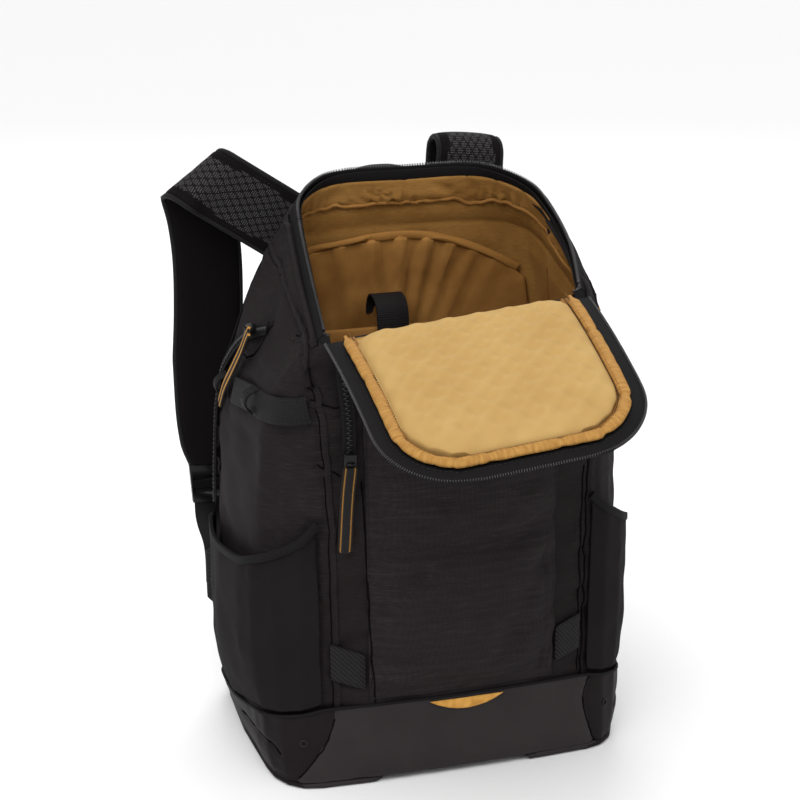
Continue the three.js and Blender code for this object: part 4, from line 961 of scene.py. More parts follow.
for side in ("left", "right"):
    closed_zip(f"side_zip_parts_{side}", f"side_zip_{side}", "zip_teeth", coil_black)
    closed_zip(f"edge_zip_parts_{side}", f"edge_zip_{side}", "zip_teeth", coil_black)
closed_zip("front_zip_parts", "front_zip", "zip_teeth", coil_black)


def single_coil(name, run, side, lift, slot, pitch=0.0021, length=0.0040, up=0.0022):
    """One row of teeth on the edge of a tape, coloured grey as painted glints on the black coil."""
    count = int(run["s"][-1] / pitch)
    pick = np.linspace(0, len(run["at"]) - 1, count)
    at, x, y, z = (between(run[key], pick) for key in ("at", "along", "across", "out"))
    tooth = small_bead((pitch * 0.52, length, up))
    teeth = row_of(name, tooth, at + y * side + z * lift, unit(x), unit(y), unit(z))
    dress(teeth, coil_glint_grey, slot)


rim_rings = rings_of("rim_zip")
rim_at = np.array([ring.mean(0) for ring in rim_rings])
if rim_at[0][0] > rim_at[-1][0]:
    rim_rings, rim_at = rim_rings[::-1], rim_at[::-1]
rim_up = []
for ring, middle in zip(rim_rings, rim_at):
    spread = ring - middle
    way = np.linalg.svd(spread)[2][0]
    rim_up.append(way * np.sign(way[2]))
rim_run = run_through(rim_at, np.array(rim_up), 0.003)
rim_tall = max(float(np.abs((ring - middle) @ way).max())
               for ring, middle, way in zip(rim_rings, rim_at, rim_up))
rim_tape = carried("rim_zip_tape", rim_run, bar(0.0011, -rim_tall - 0.004, rim_tall - 0.0022, 0.0003))
dress(rim_tape, zip_tape, "zip_teeth", "rim_zip")
rim_middle = rim_run["at"].mean(0)
inwards = np.sign(((rim_middle - rim_run["at"]) * rim_run["across"]).sum())
inner_section = bar(0.0005, -rim_tall - 0.0080, rim_tall - 0.003, 0.0002) + np.array([inwards * 0.0042, 0])
inner_tape = carried("rim_zip_inner_tape", rim_run, inner_section)
dress(inner_tape, zip_tape, "zip_teeth")
single_coil("rim_zip_coil", rim_run, 0, rim_tall - 0.0010, "zip_teeth", 0.0021, 0.0034, 0.0022)

# The lining. Tan cloth hung inside the bag and sewn to the zip's tape all round the mouth. Below the
# tape runs a gathered facing, then a seam, then a smooth padded band down to the loose lining.
lining_tan = material("lining_tan", (0.30, 0.145, 0.034), 0.8, Specular_IOR_Level=0.15)
lining_tree = lining_tan.node_tree
place, level, height, weave = weave_parts(lining_tree, 0.0012)
lining_cloud = put(lining_tree, "ShaderNodeTexNoise", {"Vector": place, "Scale": 30.0, "Detail": 3.0})
lining_yarn = slub(lining_tree, place, 0.006, 0.0008)
lining_tone = maths(lining_tree, "ADD", maths(lining_tree, "MULTIPLY", lining_cloud, 0.5),
                    maths(lining_tree, "MULTIPLY", lining_yarn, 0.5))
paint(lining_tan, shades(lining_tree, lining_tone, [(0.35, (0.245, 0.115, 0.026)),
                                                    (0.65, (0.345, 0.178, 0.048))]))
emboss(lining_tan, weave, 0.00018, 0.45)


lining = cloth_copy("lining", "lining_cloth")
modify(lining, "SUBSURF", subdivision_type="SIMPLE", levels=2, render_levels=2)
flat = points_of(lining)
modify(lining, "SMOOTH", factor=0.5, iterations=3)
skin = points_of(lining)
still = gap_to(rim_tree, flat) < 0.012
skin[still] = flat[still]
set_points(lining, skin)
finer_where(lining, lambda points: along_nearest(points, rim_run["at"], rim_run["s"])[0] < 0.075, 2)
skin = points_of(lining)
facing = normals_of(lining)
below, around = along_nearest(skin, rim_run["at"], rim_run["s"])
lining_centre = skin.mean(0)
inwards = (facing[:, :2] * (skin - lining_centre)[:, :2]).sum(1) < 0
ruffle = np.sin(around * 2 * math.pi / 0.0085 + 1.8 * np.sin(around * 61) + 1.1 * np.sin(around * 143))
facing_middle, facing_half = 0.0215, 0.0085
gathered = np.exp(-((below - facing_middle) / facing_half) ** 2)
gathered *= np.clip(0.75 + 0.5 * ripple(skin, 0.045, 43), 0.25, 1.4)
soft = np.clip((below - 0.045) / 0.02, 0, 1)
raised = 0.0021 * (ruffle + 1.0) * gathered + 0.0014 * np.exp(-((below - 0.037) / 0.0075) ** 2)
raised += soft * 0.0014 * (ripple(skin, 0.05, 41, (1, 1, 0.45)) + 1)
raised += soft * 0.0004 * ripple(skin, 0.017, 42, (1, 1, 0.6))
facing_seam, band_seam = 0.029, 0.0475
raised -= 0.0018 * np.exp(-((below - facing_seam) / 0.0012) ** 2)
raised -= 0.0012 * np.exp(-((below - band_seam) / 0.0014) ** 2)
raised += 0.0009
raised = np.where(inwards, np.maximum(raised, 0), 0) * np.clip(below / 0.01, 0, 1)
set_points(lining, skin + facing * raised[:, None])
skin = points_of(lining)
clear_of_shell = 0.0009
for index in np.flatnonzero(inwards & (below > 0.012)):
    seat, way, _, gap = shell_tree.find_nearest(Vector(skin[index]))
    over = (skin[index] - np.array(seat)) @ np.array(way)
    beside_wall = abs(way[2]) < 0.4 and np.array(way) @ facing[index] > 0.3
    if gap < 0.004 and over < clear_of_shell and beside_wall:
        skin[index] += np.array(way) * (clear_of_shell - over)
set_points(lining, skin)
dress(lining, lining_tan, "liner_cloth", "lining")

# The pocket on the back wall. A padded panel of the lining cloth under an arched edge, which a folded
# strip of darker cloth binds with one line of stitches. Its cloth hangs in upright folds.
pocket_tan = material("pocket_tan", (0.25, 0.115, 0.026), 0.8, Specular_IOR_Level=0.15)
pocket_tree = pocket_tan.node_tree
place, level, height, weave = weave_parts(pocket_tree, 0.0012)
pocket_cloud = put(pocket_tree, "ShaderNodeTexNoise", {"Vector": place, "Scale": 34.0, "Detail": 3.0})
paint(pocket_tan, shades(pocket_tree, pocket_cloud, [(0.3, (0.215, 0.095, 0.021)),
                                                     (0.7, (0.32, 0.155, 0.040))]))
emboss(pocket_tan, weave, 0.00018, 0.45)
binding_tan = material("binding_tan", (0.27, 0.125, 0.027), 0.72, Specular_IOR_Level=0.2)
binding_tree = binding_tan.node_tree
binding_split = binding_tree.nodes.new("ShaderNodeSeparateXYZ")
binding_tree.links.new(put(binding_tree, "ShaderNodeUVMap"), binding_split.inputs[0])
binding_turns = 5200
binding_rib = wave(binding_tree, binding_split.outputs[0], binding_turns)
emboss(binding_tan, binding_rib, 0.0002, 0.5)
thread_tan = material("thread_tan", (0.20, 0.085, 0.016), 0.6, Specular_IOR_Level=0.3)

lining_tree = surface_of(lining)
lining_low, lining_high = (np.array(corner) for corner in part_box("lining"))
hem_seats = []
for point in rim_run["at"][2:-2:4]:
    inner = point + (lining_centre - point) * np.array([0.03, 0.03, 0]) - np.array([0, 0, 0.030])
    seat = lining_tree.find_nearest(Vector(inner))
    hem_seats.append((seat[0], seat[1]))
facing_hem = run_through([seat for seat, _ in hem_seats], [way for _, way in hem_seats], 0.003)
hem_sway = 0.0009 * np.sin(facing_hem["s"] * 330 + 2 * np.sin(facing_hem["s"] * 83))
facing_hem["at"] = facing_hem["at"] + facing_hem["across"] * hem_sway[:, None]
hem_section = bar(0.0016, -0.0014, 0.0013, 0.0007)
dress(carried("facing_hem", facing_hem, hem_section), pocket_tan, "liner_cloth")
dress(stitches("facing_stitches", facing_hem, 0.0, 0.0014), thread_tan, "liner_cloth")
for side, edge_x in (("left", lining_low[0] + 0.007), ("right", lining_high[0] - 0.007)):
    corner_points, corner_ways = [], []
    for level in np.linspace(lining_low[2] + 0.12, lining_high[2] - 0.075, 9):
        start = Vector((edge_x * 0.4, 0.0, level))
        corner = Vector((edge_x, lining_high[1] - 0.030, level))
        seat, way, *_ = lining_tree.ray_cast(start, (corner - start).normalized())
        if seat is not None:
            corner_points.append(seat)
            corner_ways.append(way)
    corner_run = run_through(corner_points, corner_ways, 0.004)
    corner_line = carried(f"lining_corner_seam_{side}", corner_run, bar(0.0009, -0.0010, 0.0007, 0.0003))
    dress(corner_line, thread_tan, "liner_cloth")

arched = cloth_copy("arched_pocket", "arched_pocket_cloth")
divide(arched, 3, 4)
arch_run = node_run("pocket_binding", 0.004)
skin = points_of(arched)
facing = normals_of(arched)
below, around = along_nearest(skin, arch_run["at"], arch_run["s"])
towards_mouth = -facing[:, 1]
middle_of_arch = arch_run["s"][-1] * 0.45
fold_pitch = 0.024
rays = np.sin(around * 2 * math.pi / fold_pitch + 0.7 * np.sin(around * 40))
rays *= np.exp(-((around - middle_of_arch) / 0.07) ** 2)
folds = 0.0040 * (rays + 0.2) * np.exp(-below / 0.07) + 0.0009 * ripple(skin, 0.045, 51, (1, 1, 0.5))
folds -= 0.0016 * np.exp(-((below - 0.0065) / 0.002) ** 2)
folds = np.clip(folds, -0.0012, 0.0050) * (towards_mouth > 0.3) * np.clip(below / 0.004, 0, 1)
set_points(arched, skin + facing * folds[:, None])
dress(arched, pocket_tan, "liner_cloth", "arched_pocket")

half = float(np.median(arch_run["half"]))
arch_section = bar(half * 1.35, arch_run["low"], arch_run["high"], 0.0009)
arch_binding = carried("arched_pocket_binding", arch_run, arch_section)
dress(arch_binding, binding_tan, "liner_cloth", "pocket_binding")
arch_out = (arch_run["out"] * np.array([0, -1, 0])).sum() > 0
arch_lift = arch_run["high"] if arch_out else arch_run["low"]
arch_seam = stitches("arched_pocket_stitches", arch_run, half * 0.45, arch_lift * 0.9)
dress(arch_seam, thread_tan, "liner_cloth")

sleeve = cloth_copy("sleeve_panel", "sleeve_cloth")
divide(sleeve, 2, 3)
skin = points_of(sleeve)
facing = normals_of(sleeve)
low, high = skin.min(0), skin.max(0)
inner_share = np.clip(np.minimum(skin[:, 0] - low[0], high[0] - skin[:, 0]) / 0.01, 0, 1)
waves = 0.0008 * ripple(skin, 0.06, 61, (1, 1, 0.6)) * inner_share
set_points(sleeve, skin + np.array([0, 1, 0]) * waves[:, None])
dress(sleeve, pocket_tan, "liner_cloth", "sleeve_panel")

# The closing tab of the sleeve. A folded length of black webbing with a hook-and-loop face.
webbing_black = material("webbing_black", (0.0075, 0.0068, 0.0070), 0.66, Specular_IOR_Level=0.14)
webbing_tree = webbing_black.node_tree
webbing_split = webbing_tree.nodes.new("ShaderNodeSeparateXYZ")
webbing_tree.links.new(put(webbing_tree, "ShaderNodeUVMap"), webbing_split.inputs[0])
rib_u = maths(webbing_tree, "MULTIPLY", webbing_split.outputs[0], 3400)
rib_v = maths(webbing_tree, "MULTIPLY", webbing_split.outputs[1], 2600)
rib_turns = maths(webbing_tree, "ADD", rib_u, maths(webbing_tree, "SINE", rib_v))
webbing_rib = maths(webbing_tree, "SINE", rib_turns)
emboss(webbing_black, webbing_rib, 0.0003, 0.6)
# Lighter on the ribs' crests and darker between them, following the bump: painted highlight and shade.
rib_highlight_and_shade = maths(webbing_tree, "MULTIPLY", maths(webbing_tree, "ADD", webbing_rib, 1.0), 0.5)
paint(webbing_black, shades(webbing_tree, rib_highlight_and_shade,
                            [(0.1, (0.0052, 0.0046, 0.0048)), (0.9, (0.0115, 0.0102, 0.0106))]))


def webbing_from(node, name, made, slot, step=0.003, edge_stitch=0.0):
    run = node_run(node, step)
    half = run["half"]
    low, high = run["low"], run["high"]
    broadest = bar(half.max(), low, high, 0.0004)
    section = np.array([[(x * h / half.max(), y) for x, y in broadest] for h in half])
    band = carried(name, run, section)
    dress(band, made, slot, node)
    if edge_stitch:
        for way in (-1, 1):
            seam_name = f"{name}_stitches_{'in' if way < 0 else 'out'}"
            seam = stitches(seam_name, run, way * (half.max() - edge_stitch), high)
            dress(seam, thread_black, slot)
    return run


webbing_from("closure_tab", "closure_webbing", webbing_black, "black_webbing", 0.003, 0.0025)

# The lid. A panel of the body's cloth, hinged by its cloth along the front of the mouth and thrown
# open, with a quilted tan pad inside that is bound round its edge in tan cloth.
lid = cloth_copy("lid_panel", "lid_cloth")
divide(lid, 2, 3)
dress(lid, body_black, "black_cloth", "lid_panel")

quilt_tan = material("quilt_tan", (0.45, 0.287, 0.099), 0.8, Specular_IOR_Level=0.15)
quilt_tree = quilt_tan.node_tree
place, level, height, weave = weave_parts(quilt_tree, 0.0010)
quilt_cloud = put(quilt_tree, "ShaderNodeTexNoise", {"Vector": place, "Scale": 26.0, "Detail": 3.0})
paint(quilt_tan, shades(quilt_tree, quilt_cloud, [(0.3, (0.430, 0.268, 0.092)),
                                                  (0.7, (0.472, 0.304, 0.110))]))
emboss(quilt_tan, weave, 0.00014, 0.35)

quilt = cloth_copy("lid_lining", "quilted_pad")
divide(quilt, 3, 2)
pad_low, pad_high = (np.array(corner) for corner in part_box("lid_lining"))
binding_run = node_run("lid_binding", 0.003)
lid_tree = surface_of(nodes["lid_panel"])
skin = points_of(quilt)
facing = normals_of(quilt)
hinge_back = pad_high[1]
chord = unit(np.array([0, pad_low[1] - pad_high[1], -(pad_high[2] - pad_low[2]) * 0.62]))
seats, ways = [], []
for point in skin:
    seat, way, *_ = lid_tree.find_nearest(Vector(point))
    seats.append(seat)
    ways.append(way)
seats, ways = np.array(seats), np.array(ways)
on_top = ways[:, 2] > 0.2
lift = ((skin - seats) * ways).sum(1)
down = (seats - np.array([0, hinge_back, pad_high[2]])) @ chord
hem = np.array([np.linalg.norm(binding_run["at"] - seat, axis=1).argmin() for seat in seats])
to_hem = binding_run["at"][hem] - seats
to_hem -= (to_hem * ways).sum(1, keepdims=True) * ways
hem_gap = np.linalg.norm(to_hem, axis=1)
spread = 0.0062 * np.exp(-np.maximum(hem_gap - 0.0102, 0) / 0.02)
seats = seats + unit(to_hem) * spread[:, None]
skin = skin + unit(to_hem) * spread[:, None]
rim_gap = hem_gap - spread - 0.0034
hinge_gap = (hinge_back - seats[:, 1]) + 0.001
pad_corner, pad_slope, pad_thick = 0.018, 0.021, 0.0108
quilt_pitch, quilt_height = 0.0238, 0.0024
round_off = pad_corner - np.hypot(np.maximum(pad_corner - rim_gap, 0), np.maximum(pad_corner - hinge_gap, 0))
in_corner = (rim_gap < pad_corner) & (hinge_gap < pad_corner)
inset = np.where(in_corner, round_off, np.minimum(rim_gap, hinge_gap))
edge = np.clip(inset / pad_slope, 0.0, 1)
dome = pad_thick * np.sqrt(1 - (1 - edge) ** 2)
cross = seats[:, 0] + 0.04 * down
bumps = np.sin(cross * 2 * math.pi / quilt_pitch) * np.cos(down * 2 * math.pi / quilt_pitch)
wanted = 0.0006 + dome + quilt_height * (bumps - 0.25) * np.clip(inset / 0.016, 0, 1)
wanted += 0.0005 * ripple(skin, 0.03, 71) * edge
top = on_top & (lift > 0.0012) & (facing @ np.array([0, -0.3, 0.95]) > 0.15)
moved = np.where(top[:, None], seats + ways * np.maximum(wanted, 0.0008)[:, None], skin)
set_points(quilt, moved)
modify(quilt, "SMOOTH", factor=0.5, iterations=2)
dress(quilt, quilt_tan, "quilt_cloth", "lid_lining")

binding_cloth = material("binding_cloth", (0.40, 0.205, 0.048), 0.72, Specular_IOR_Level=0.18)
cloth_rib = binding_cloth.node_tree
rib_split = cloth_rib.nodes.new("ShaderNodeSeparateXYZ")
cloth_rib.links.new(put(cloth_rib, "ShaderNodeUVMap"), rib_split.inputs[0])
fine_turns = 4200
fine_rib = wave(cloth_rib, rib_split.outputs[0], fine_turns)
rib_place = put(cloth_rib, "ShaderNodeMapping", {"Vector": put(cloth_rib, "ShaderNodeUVMap"),
                                                 "Scale": (420.0, 90.0, 1.0)})
creased = put(cloth_rib, "ShaderNodeTexNoise", {"Vector": rib_place, "Scale": 1.0, "Detail": 3.0})
rib_height = maths(cloth_rib, "ADD", maths(cloth_rib, "MULTIPLY", fine_rib, 0.12), creased)
emboss(binding_cloth, rib_height, 0.0012, 0.8)
# Darker where the crinkles sink and lighter on their crests, following the bump: painted shade and highlight.
paint(binding_cloth, shades(cloth_rib, creased,
                            [(0.3, (0.315, 0.150, 0.032)), (0.65, (0.445, 0.235, 0.060))]))
rows = len(binding_run["at"])
share = binding_run["s"] / binding_run["s"][-1]
random = np.random.default_rng(5)
pinch = np.zeros(rows)
for place_of_pinch in (0.30, 0.385, 0.46, 0.555, 0.64, 0.70, 0.12, 0.86):
    pinch += np.exp(-((share - place_of_pinch) / 0.006) ** 2) * random.uniform(0.5, 1.0)
pinch += 0.10 * np.sin(binding_run["s"] * 300 + 3 * np.sin(binding_run["s"] * 70))
from_end = np.minimum(binding_run["s"], binding_run["s"][-1] - binding_run["s"])
radius = (0.0039 - 0.0013 * pinch) * np.clip(from_end / 0.012, 0.3, 1)
lid_middle = binding_run["at"].mean(0)
inner_places = binding_run["at"] + (lid_middle - binding_run["at"]) * 0.2 + np.array([0, 0, 0.006])
lid_way = np.array([lid_tree.find_nearest(Vector(point))[1] for point in inner_places])
for _ in range(12):
    lid_way = unit(np.vstack([lid_way[:1], lid_way[:-2] + 2 * lid_way[1:-1] + lid_way[2:], lid_way[-1:]]))
lid_lean = (lid_way * binding_run["along"]).sum(1, keepdims=True)
binding_run["out"] = unit(lid_way - lid_lean * binding_run["along"])
binding_run["across"] = np.cross(binding_run["along"], binding_run["out"])
if (binding_run["across"][rows // 2] @ np.array([0, -1, 0])) < 0:
    binding_run["across"] = -binding_run["across"]
hem_run = copied(binding_run)
hem_run["at"] = hem_run["at"] + hem_run["across"] * 0.0012 - hem_run["out"] * 0.0006
hem_sections = np.array([tube(r * 1.15, r * 0.72, 0, 16) for r in radius])
lid_binding = carried("lid_binding_cloth", hem_run, hem_sections)
dress(lid_binding, binding_cloth, "liner_cloth", "lid_binding")
dress(stitches("lid_binding_stitches", hem_run, -0.0030, 0.0020, 0.0032, 0.0007), thread_tan, "liner_cloth")

lid_edge = copied(binding_run)
lid_edge["at"] = binding_run["at"] - binding_run["out"] * 0.0046 + binding_run["across"] * 0.0058


def evened(line, rounds):
    """Places or ways along a run, each one drawn towards its two neighbours."""
    for _ in range(rounds):
        line = np.vstack([line[:1], (line[:-2] + 2 * line[1:-1] + line[2:]) / 4, line[-1:]])
    return line


smooth_at, smooth_out, smooth_side = (evened(lid_edge[key], 10) for key in ("at", "out", "across"))
tape_edge = 0.0108
coil_at = smooth_at + smooth_side * tape_edge
coil_run = run_through(coil_at[::2], smooth_out[::2], 0.003, across=unit(smooth_side)[::2])
lid_tape = carried("lid_zip_tape", lid_edge, bar(0.0095, -0.0016, 0.0006, 0.0004) + np.array([0.0015, 0]))
dress(lid_tape, zip_tape, "zip_teeth", "lid_zip")
single_coil("lid_zip_coil", coil_run, 0, 0.0003, "zip_teeth", 0.0019, 0.0026, 0.0020)
seam_section = bar(0.0030, -0.0044, -0.0020, 0.0004) + np.array([-0.0030, 0])
inner_seam = carried("lid_seam_tape", binding_run, seam_section)
dress(inner_seam, pocket_tan, "liner_cloth")
seam_thread = stitches("lid_seam_stitches", binding_run, -0.0036, -0.0016, 0.0030, 0.0011)
dress(seam_thread, thread_black, "liner_cloth")
dress(stitches("lid_tape_stitches", lid_edge, 0.0012, 0.0007), thread_black, "zip_teeth")

# The sliders and their pulls. Each slider is black metal with a bridge on top, and its pull is a doubled
# length of woven ribbon, black down the middle with an orange thread near each edge.
slider_black = material("slider_black", (0.0055, 0.0052, 0.0054), 0.32, Specular_IOR_Level=0.22)


def pull_cloth(name, dark, bright):
    """Woven ribbon with an orange stripe from one share of its half width to another."""
    made = material(name, (0.35, 0.17, 0.03), 0.68, Specular_IOR_Level=0.2)
    tree = made.node_tree
    split = tree.nodes.new("ShaderNodeSeparateXYZ")
    tree.links.new(put(tree, "ShaderNodeUVMap"), split.inputs[0])
    pick_turns = 4300
    picks = wave(tree, split.outputs[0], pick_turns)
    wobble = maths(tree, "ADD", maths(tree, "ABSOLUTE", split.outputs[1]),
                   maths(tree, "MULTIPLY", picks, 0.00035))
    paint(made, shades(tree, maths(tree, "MULTIPLY", wobble, 175.0),
                       [(0.0, (0.008, 0.007, 0.007)), (dark - 0.04, (0.011, 0.009, 0.009)),
                        (dark, (0.36, 0.165, 0.026)), (bright, (0.50, 0.25, 0.045)),
                        (bright + 0.04, (0.02, 0.011, 0.006)), (1.0, (0.010, 0.008, 0.007))]))
    emboss(made, picks, 0.0003, 0.6)
    return made


front_weave = pull_cloth("front_pull_weave", 0.60, 0.66)
side_weave = pull_cloth("side_pull_weave", 0.40, 0.80)


def slider_from(node, name):
    body_of_slider = cloth_copy(node, name)
    modify(body_of_slider, "BEVEL", width=0.0005, segments=3, limit_method="ANGLE",
           angle_limit=math.radians(35))
    low, high = (np.array(corner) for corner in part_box(node))
    middle = (low + high) / 2
    way = off_shell([middle])[0]
    turn = Vector(way).to_track_quat("Z", "Y").to_euler()
    bpy.ops.object.select_all(action="DESELECT")
    bridge_middle = Vector(middle + way * 0.0022)
    bpy.ops.mesh.primitive_torus_add(location=bridge_middle, rotation=turn, major_radius=0.0026,
                                     minor_radius=0.0008, major_segments=20, minor_segments=8)
    bridge = bpy.context.object
    only(bridge)
    bpy.ops.object.mode_set(mode="EDIT")
    bpy.ops.mesh.select_all(action="SELECT")
    bpy.ops.transform.rotate(value=math.pi / 2, orient_axis="X", orient_type="LOCAL",
                             center_override=bridge_middle)
    bpy.ops.object.mode_set(mode="OBJECT")
    bpy.ops.object.transform_apply(location=True, rotation=True, scale=True)
    body_of_slider.select_set(True)
    bpy.context.view_layer.objects.active = body_of_slider
    bpy.ops.object.join()
    dress(body_of_slider, slider_black, "black_plastic", node)


def pull_from(node, name, weave_cloth):
    run = node_run(node, 0.002)
    half = float(run["half"].max()) * 1.25
    end = np.sqrt(np.clip(1 - (np.clip(1 - (run["s"][-1] - run["s"]) / 0.003, 0, 1)) ** 2, 0.15, 1))
    band = np.array([[(x * e, y) for x, y in bar(half, run["low"], run["high"], 0.0004)] for e in end])
    ribbon = carried(name, run, band)
    dress(ribbon, weave_cloth, "orange_weave", node)
    bar_stitch = {key: (value[3:9] if isinstance(value, np.ndarray) else value) for key, value in run.items()}
    bar_stitch["s"] = bar_stitch["s"] - bar_stitch["s"][0]
    dress(stitches(name + "_bar", bar_stitch, 0, run["high"], 0.0016, 0.0011), thread_black, "orange_weave")


for end in ("front", "side_left", "side_right"):
    words = end.split("_")
    tail = "_" + words[1] if len(words) > 1 else ""
    slider_from(f"{words[0]}_slider{tail}", f"{words[0]}_slider_metal{tail}")
    pull_from(f"{words[0]}_pull{tail}", f"{words[0]}_pull_ribbon{tail}", side_weave if tail else front_weave)

# The webbing. A black band round each side of the bag carries two loops for straps, and a ribbed patch
# is sewn into the seam low on each side of the front pocket.
patch_black = material("patch_black", (0.011, 0.0098, 0.0101), 0.6, Specular_IOR_Level=0.18)
patch_tree = patch_black.node_tree
place, level, height, weave = weave_parts(patch_tree, 0.0016)
slant = maths(patch_tree, "ADD", level, maths(patch_tree, "MULTIPLY", height, 0.9))
patch_turns = 1750
patch_rib = wave(patch_tree, slant, patch_turns)
emboss(patch_black, patch_rib, 0.0005, 0.8)
# Lighter on the ribs' crests and darker between them, following the bump: painted highlight and shade.
patch_highlight_and_shade = maths(patch_tree, "MULTIPLY", maths(patch_tree, "ADD", patch_rib, 1.0), 0.5)
paint(patch_black, shades(patch_tree, patch_highlight_and_shade,
                          [(0.15, (0.0060, 0.0053, 0.0055)), (0.85, (0.0140, 0.0124, 0.0128))]))
for side in ("left", "right"):
    webbing_from(f"side_webbing_{side}", f"side_band_{side}", webbing_black, "black_webbing", 0.004, 0.0018)
    for place_of_loop in ("front", "back"):
        webbing_from(f"webbing_loop_{place_of_loop}_{side}", f"{place_of_loop}_loop_band_{side}",
                     webbing_black, "black_webbing", 0.0015, 0.0016)
    patch = cloth_copy(f"base_patch_{side}", f"base_patch_webbing_{side}")
    divide(patch, 2, 1)
    dress(patch, patch_black, "black_webbing", f"base_patch_{side}")

# The back. A padded panel in soft black mesh lies against the wearer, with two upright channels pressed
# into it for air.
strap_black = material("strap_black", (0.0052, 0.0043, 0.0042), 0.85, Specular_IOR_Level=0.06)
strap_tree = strap_black.node_tree
place, level, height, weave = weave_parts(strap_tree, 0.0014)
emboss(strap_black, weave, 0.0002, 0.4)
mesh_black = material("mesh_black", (0.0085, 0.0077, 0.0080), 0.8, Specular_IOR_Level=0.12)
mesh_tree = mesh_black.node_tree
place, level, height, weave = weave_parts(mesh_tree, 0.0032)
emboss(mesh_black, weave, 0.0006, 0.8)
# Lighter on the weave's crests and darker in its hollows, following the bump: painted highlight and shade.
paint(mesh_black, shades(mesh_tree, maths(mesh_tree, "MULTIPLY", maths(mesh_tree, "ADD", weave, 1.0), 0.5),
                         [(0.2, (0.0045, 0.0040, 0.0041)), (0.75, (0.0135, 0.0122, 0.0126))]))
back = cloth_copy("back_panel", "back_cloth")
divide(back, 2, 3)
skin = points_of(back)
facing = normals_of(back)
low, high = skin.min(0), skin.max(0)
across_back = (skin[:, 0] - low[0]) / (high[0] - low[0])
up_back = (skin[:, 2] - low[2]) / (high[2] - low[2])
channel = np.exp(-((across_back - 0.34) / 0.022) ** 2) + np.exp(-((across_back - 0.66) / 0.022) ** 2)
channel *= np.clip(np.minimum(up_back - 0.08, 0.92 - up_back) / 0.05, 0, 1)
level_seam = np.exp(-((up_back - 0.36) / 0.008) ** 2) + np.exp(-((up_back - 0.70) / 0.008) ** 2)
off_sides = np.clip(np.minimum(across_back, 1 - across_back) / 0.06 - 0.5, 0, 1)
depth = 0.0028 * channel + 0.0016 * level_seam * off_sides
set_points(back, skin - facing * (depth * (facing[:, 1] > 0.3))[:, None])
dress(back, mesh_black, "strap_cloth", "back_panel")

# The shoulder straps. Each is a bar of foam with plain black cloth against the bag and a knitted mesh in
# a grey lozenge pattern on the other face, and a narrow woven binding sewn round its edge.
strap_mesh = material("strap_mesh", (0.0085, 0.0077, 0.0080), 0.75, Specular_IOR_Level=0.12)
knit_tree = strap_mesh.node_tree
knit_split = knit_tree.nodes.new("ShaderNodeSeparateXYZ")
knit_tree.links.new(put(knit_tree, "ShaderNodeUVMap"), knit_split.inputs[0])
run_u, run_v = knit_split.outputs[0], knit_split.outputs[1]
one = maths(knit_tree, "ADD", run_u, maths(knit_tree, "MULTIPLY", run_v, 1.35))
two = maths(knit_tree, "SUBTRACT", run_u, maths(knit_tree, "MULTIPLY", run_v, 1.35))
stitch_turns, pattern_turns = 1900, 330
dot = maths(knit_tree, "MULTIPLY", wave(knit_tree, one, stitch_turns), wave(knit_tree, two, stitch_turns))
large = maths(knit_tree, "MULTIPLY", wave(knit_tree, one, pattern_turns),
              wave(knit_tree, two, pattern_turns))
lozenges = maths(knit_tree, "GREATER_THAN", maths(knit_tree, "ABSOLUTE", large), 0.22)
dots = maths(knit_tree, "MULTIPLY", maths(knit_tree, "GREATER_THAN", dot, 0.25), lozenges)
paint(strap_mesh, shades(knit_tree, dots, [(0.0, (0.0055, 0.0048, 0.0050)), (1.0, (0.080, 0.074, 0.076))]))
emboss(strap_mesh, dot, 0.0004, 0.6)

for side in ("left", "right"):
    run = node_run(f"shoulder_strap_{side}", 0.004)
    half = run["half"]
    thick = (run["high"] - run["low"]) / 2
    middle_level = (run["high"] + run["low"]) / 2
    turns = np.arange(28) / 28 * 2 * math.pi
    soft_x = np.sign(np.cos(turns)) * np.abs(np.cos(turns)) ** 0.42
    soft_y = np.sign(np.sin(turns)) * np.abs(np.sin(turns)) ** 0.80
    waves = 1 + 0.05 * np.sin(run["s"] * 95 + 1.3 * np.sin(run["s"] * 31))
    section = np.array([np.c_[soft_x * (h - 0.0012), middle_level + soft_y * thick * 1.02 * w]
                        for h, w in zip(half, waves)])
    foam = carried(f"strap_foam_{side}", run, section)
    dress(foam, strap_black, "strap_cloth", f"shoulder_strap_{side}")
    cover = []
    for h, w in zip(half, waves):
        xs = np.linspace(-1, 1, 11) * (h - 0.0075)
        ys = middle_level + thick * w * 1.02 * (1 - np.abs(xs / (h - 0.0012)) ** 2.6 * 0.55)
        cover.append(np.r_[np.c_[xs, ys + 0.0006], np.c_[xs[::-1], ys[::-1] - 0.0012]])
    panel = carried(f"strap_knit_{side}", run, np.array(cover))
    dress(panel, strap_mesh, "strap_cloth")
    for way, word in ((-1, "inner"), (1, "outer")):
        edge_at = run["at"] + run["across"] * (way * (half - 0.0016))[:, None] + run["out"] * middle_level
        trim = copied(run)
        trim["at"] = edge_at
        cord = carried(f"strap_binding_{word}_{side}", trim, tube(0.0024, thick * 0.62, 0, 12))
        dress(cord, webbing_black, "strap_cloth")
        seam = stitches(f"strap_stitches_{word}_{side}", trim, -way * 0.0040, thick * 0.72, 0.0036)
        dress(seam, thread_black, "strap_cloth")

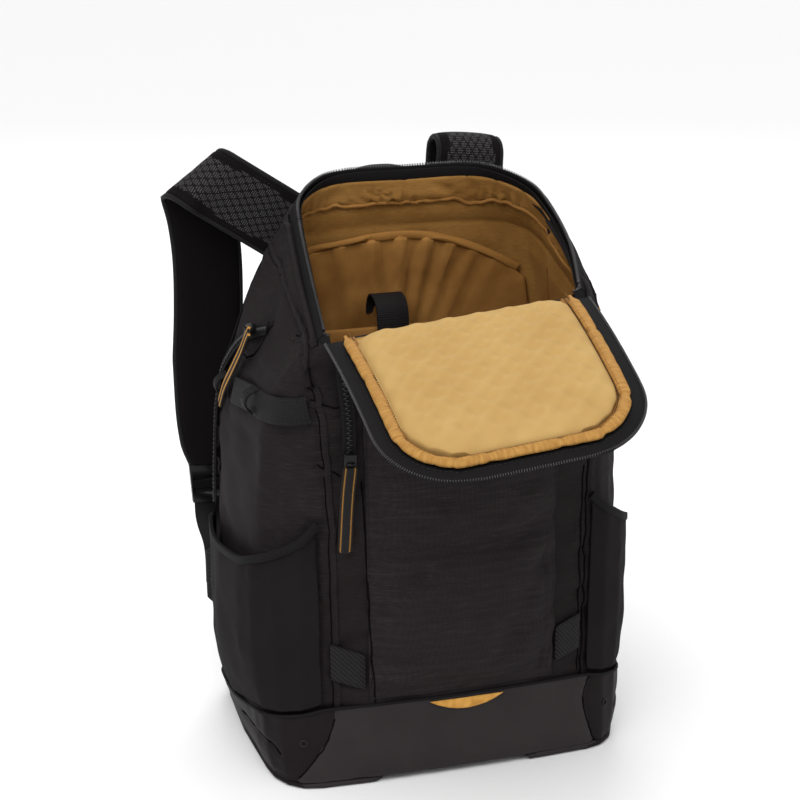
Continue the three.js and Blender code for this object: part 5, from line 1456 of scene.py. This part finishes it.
# The ladder locks and their webbing. Each lock is a moulded black buckle at the lower end of a strap,
# with webbing threaded through it down to a ribbed wing that is sewn to the bag.
for side in ("left", "right"):
    lock = cloth_copy(f"ladder_lock_{side}", f"ladder_lock_plastic_{side}")
    modify(lock, "BEVEL", width=0.0007, segments=3, limit_method="ANGLE", angle_limit=math.radians(35))
    dress(lock, slider_black, "black_plastic", f"ladder_lock_{side}")
    band_run = webbing_from(f"strap_webbing_{side}", f"strap_band_{side}", webbing_black,
                            "black_webbing", 0.004)
    corners = points_of(nodes[f"ladder_lock_{side}"])
    centre = (corners.min(0) + corners.max(0)) / 2
    flat_way = np.linalg.svd(corners - corners.mean(0))[2][2]
    nearer = np.linalg.norm(band_run["at"] - centre, axis=1).argmin()
    up_way = band_run["along"][nearer] - band_run["along"][nearer] @ flat_way * flat_way
    up_way = unit(up_way)
    side_way = np.cross(up_way, flat_way)
    reach = np.abs((corners - centre) @ up_way).max() - 0.002
    broad = np.abs((corners - centre) @ side_way).max() - 0.003
    weave_at = [centre + up_way * reach * t + flat_way * 0.0012 * math.cos(t * 3 * math.pi)
                for t in np.linspace(-1, 1, 9)]
    threaded = run_through(weave_at, [flat_way] * 9, 0.002)
    threaded_band = carried(f"threaded_webbing_{side}", threaded, bar(broad, -0.0006, 0.0006, 0.0003))
    dress(threaded_band, webbing_black, "black_webbing")
    wing = cloth_copy(f"anchor_tab_{side}", f"anchor_wing_{side}")
    divide(wing, 2, 2)
    dress(wing, patch_black, "black_webbing", f"anchor_tab_{side}")

# The handle. A padded loop of black webbing sewn into the seam behind the mouth, to lift the bag by.
handle_run = node_run("grab_handle", 0.003)
half = handle_run["half"]
low, high = handle_run["low"], handle_run["high"]
handle_section = np.array([np.c_[np.sign(np.cos(turns)) * np.abs(np.cos(turns)) ** 0.6 * h,
                                 (low + high) / 2 + np.sin(turns) * (high - low) / 2] for h in half])
handle = carried("handle_webbing", handle_run, handle_section)
dress(handle, webbing_black, "strap_cloth", "grab_handle")
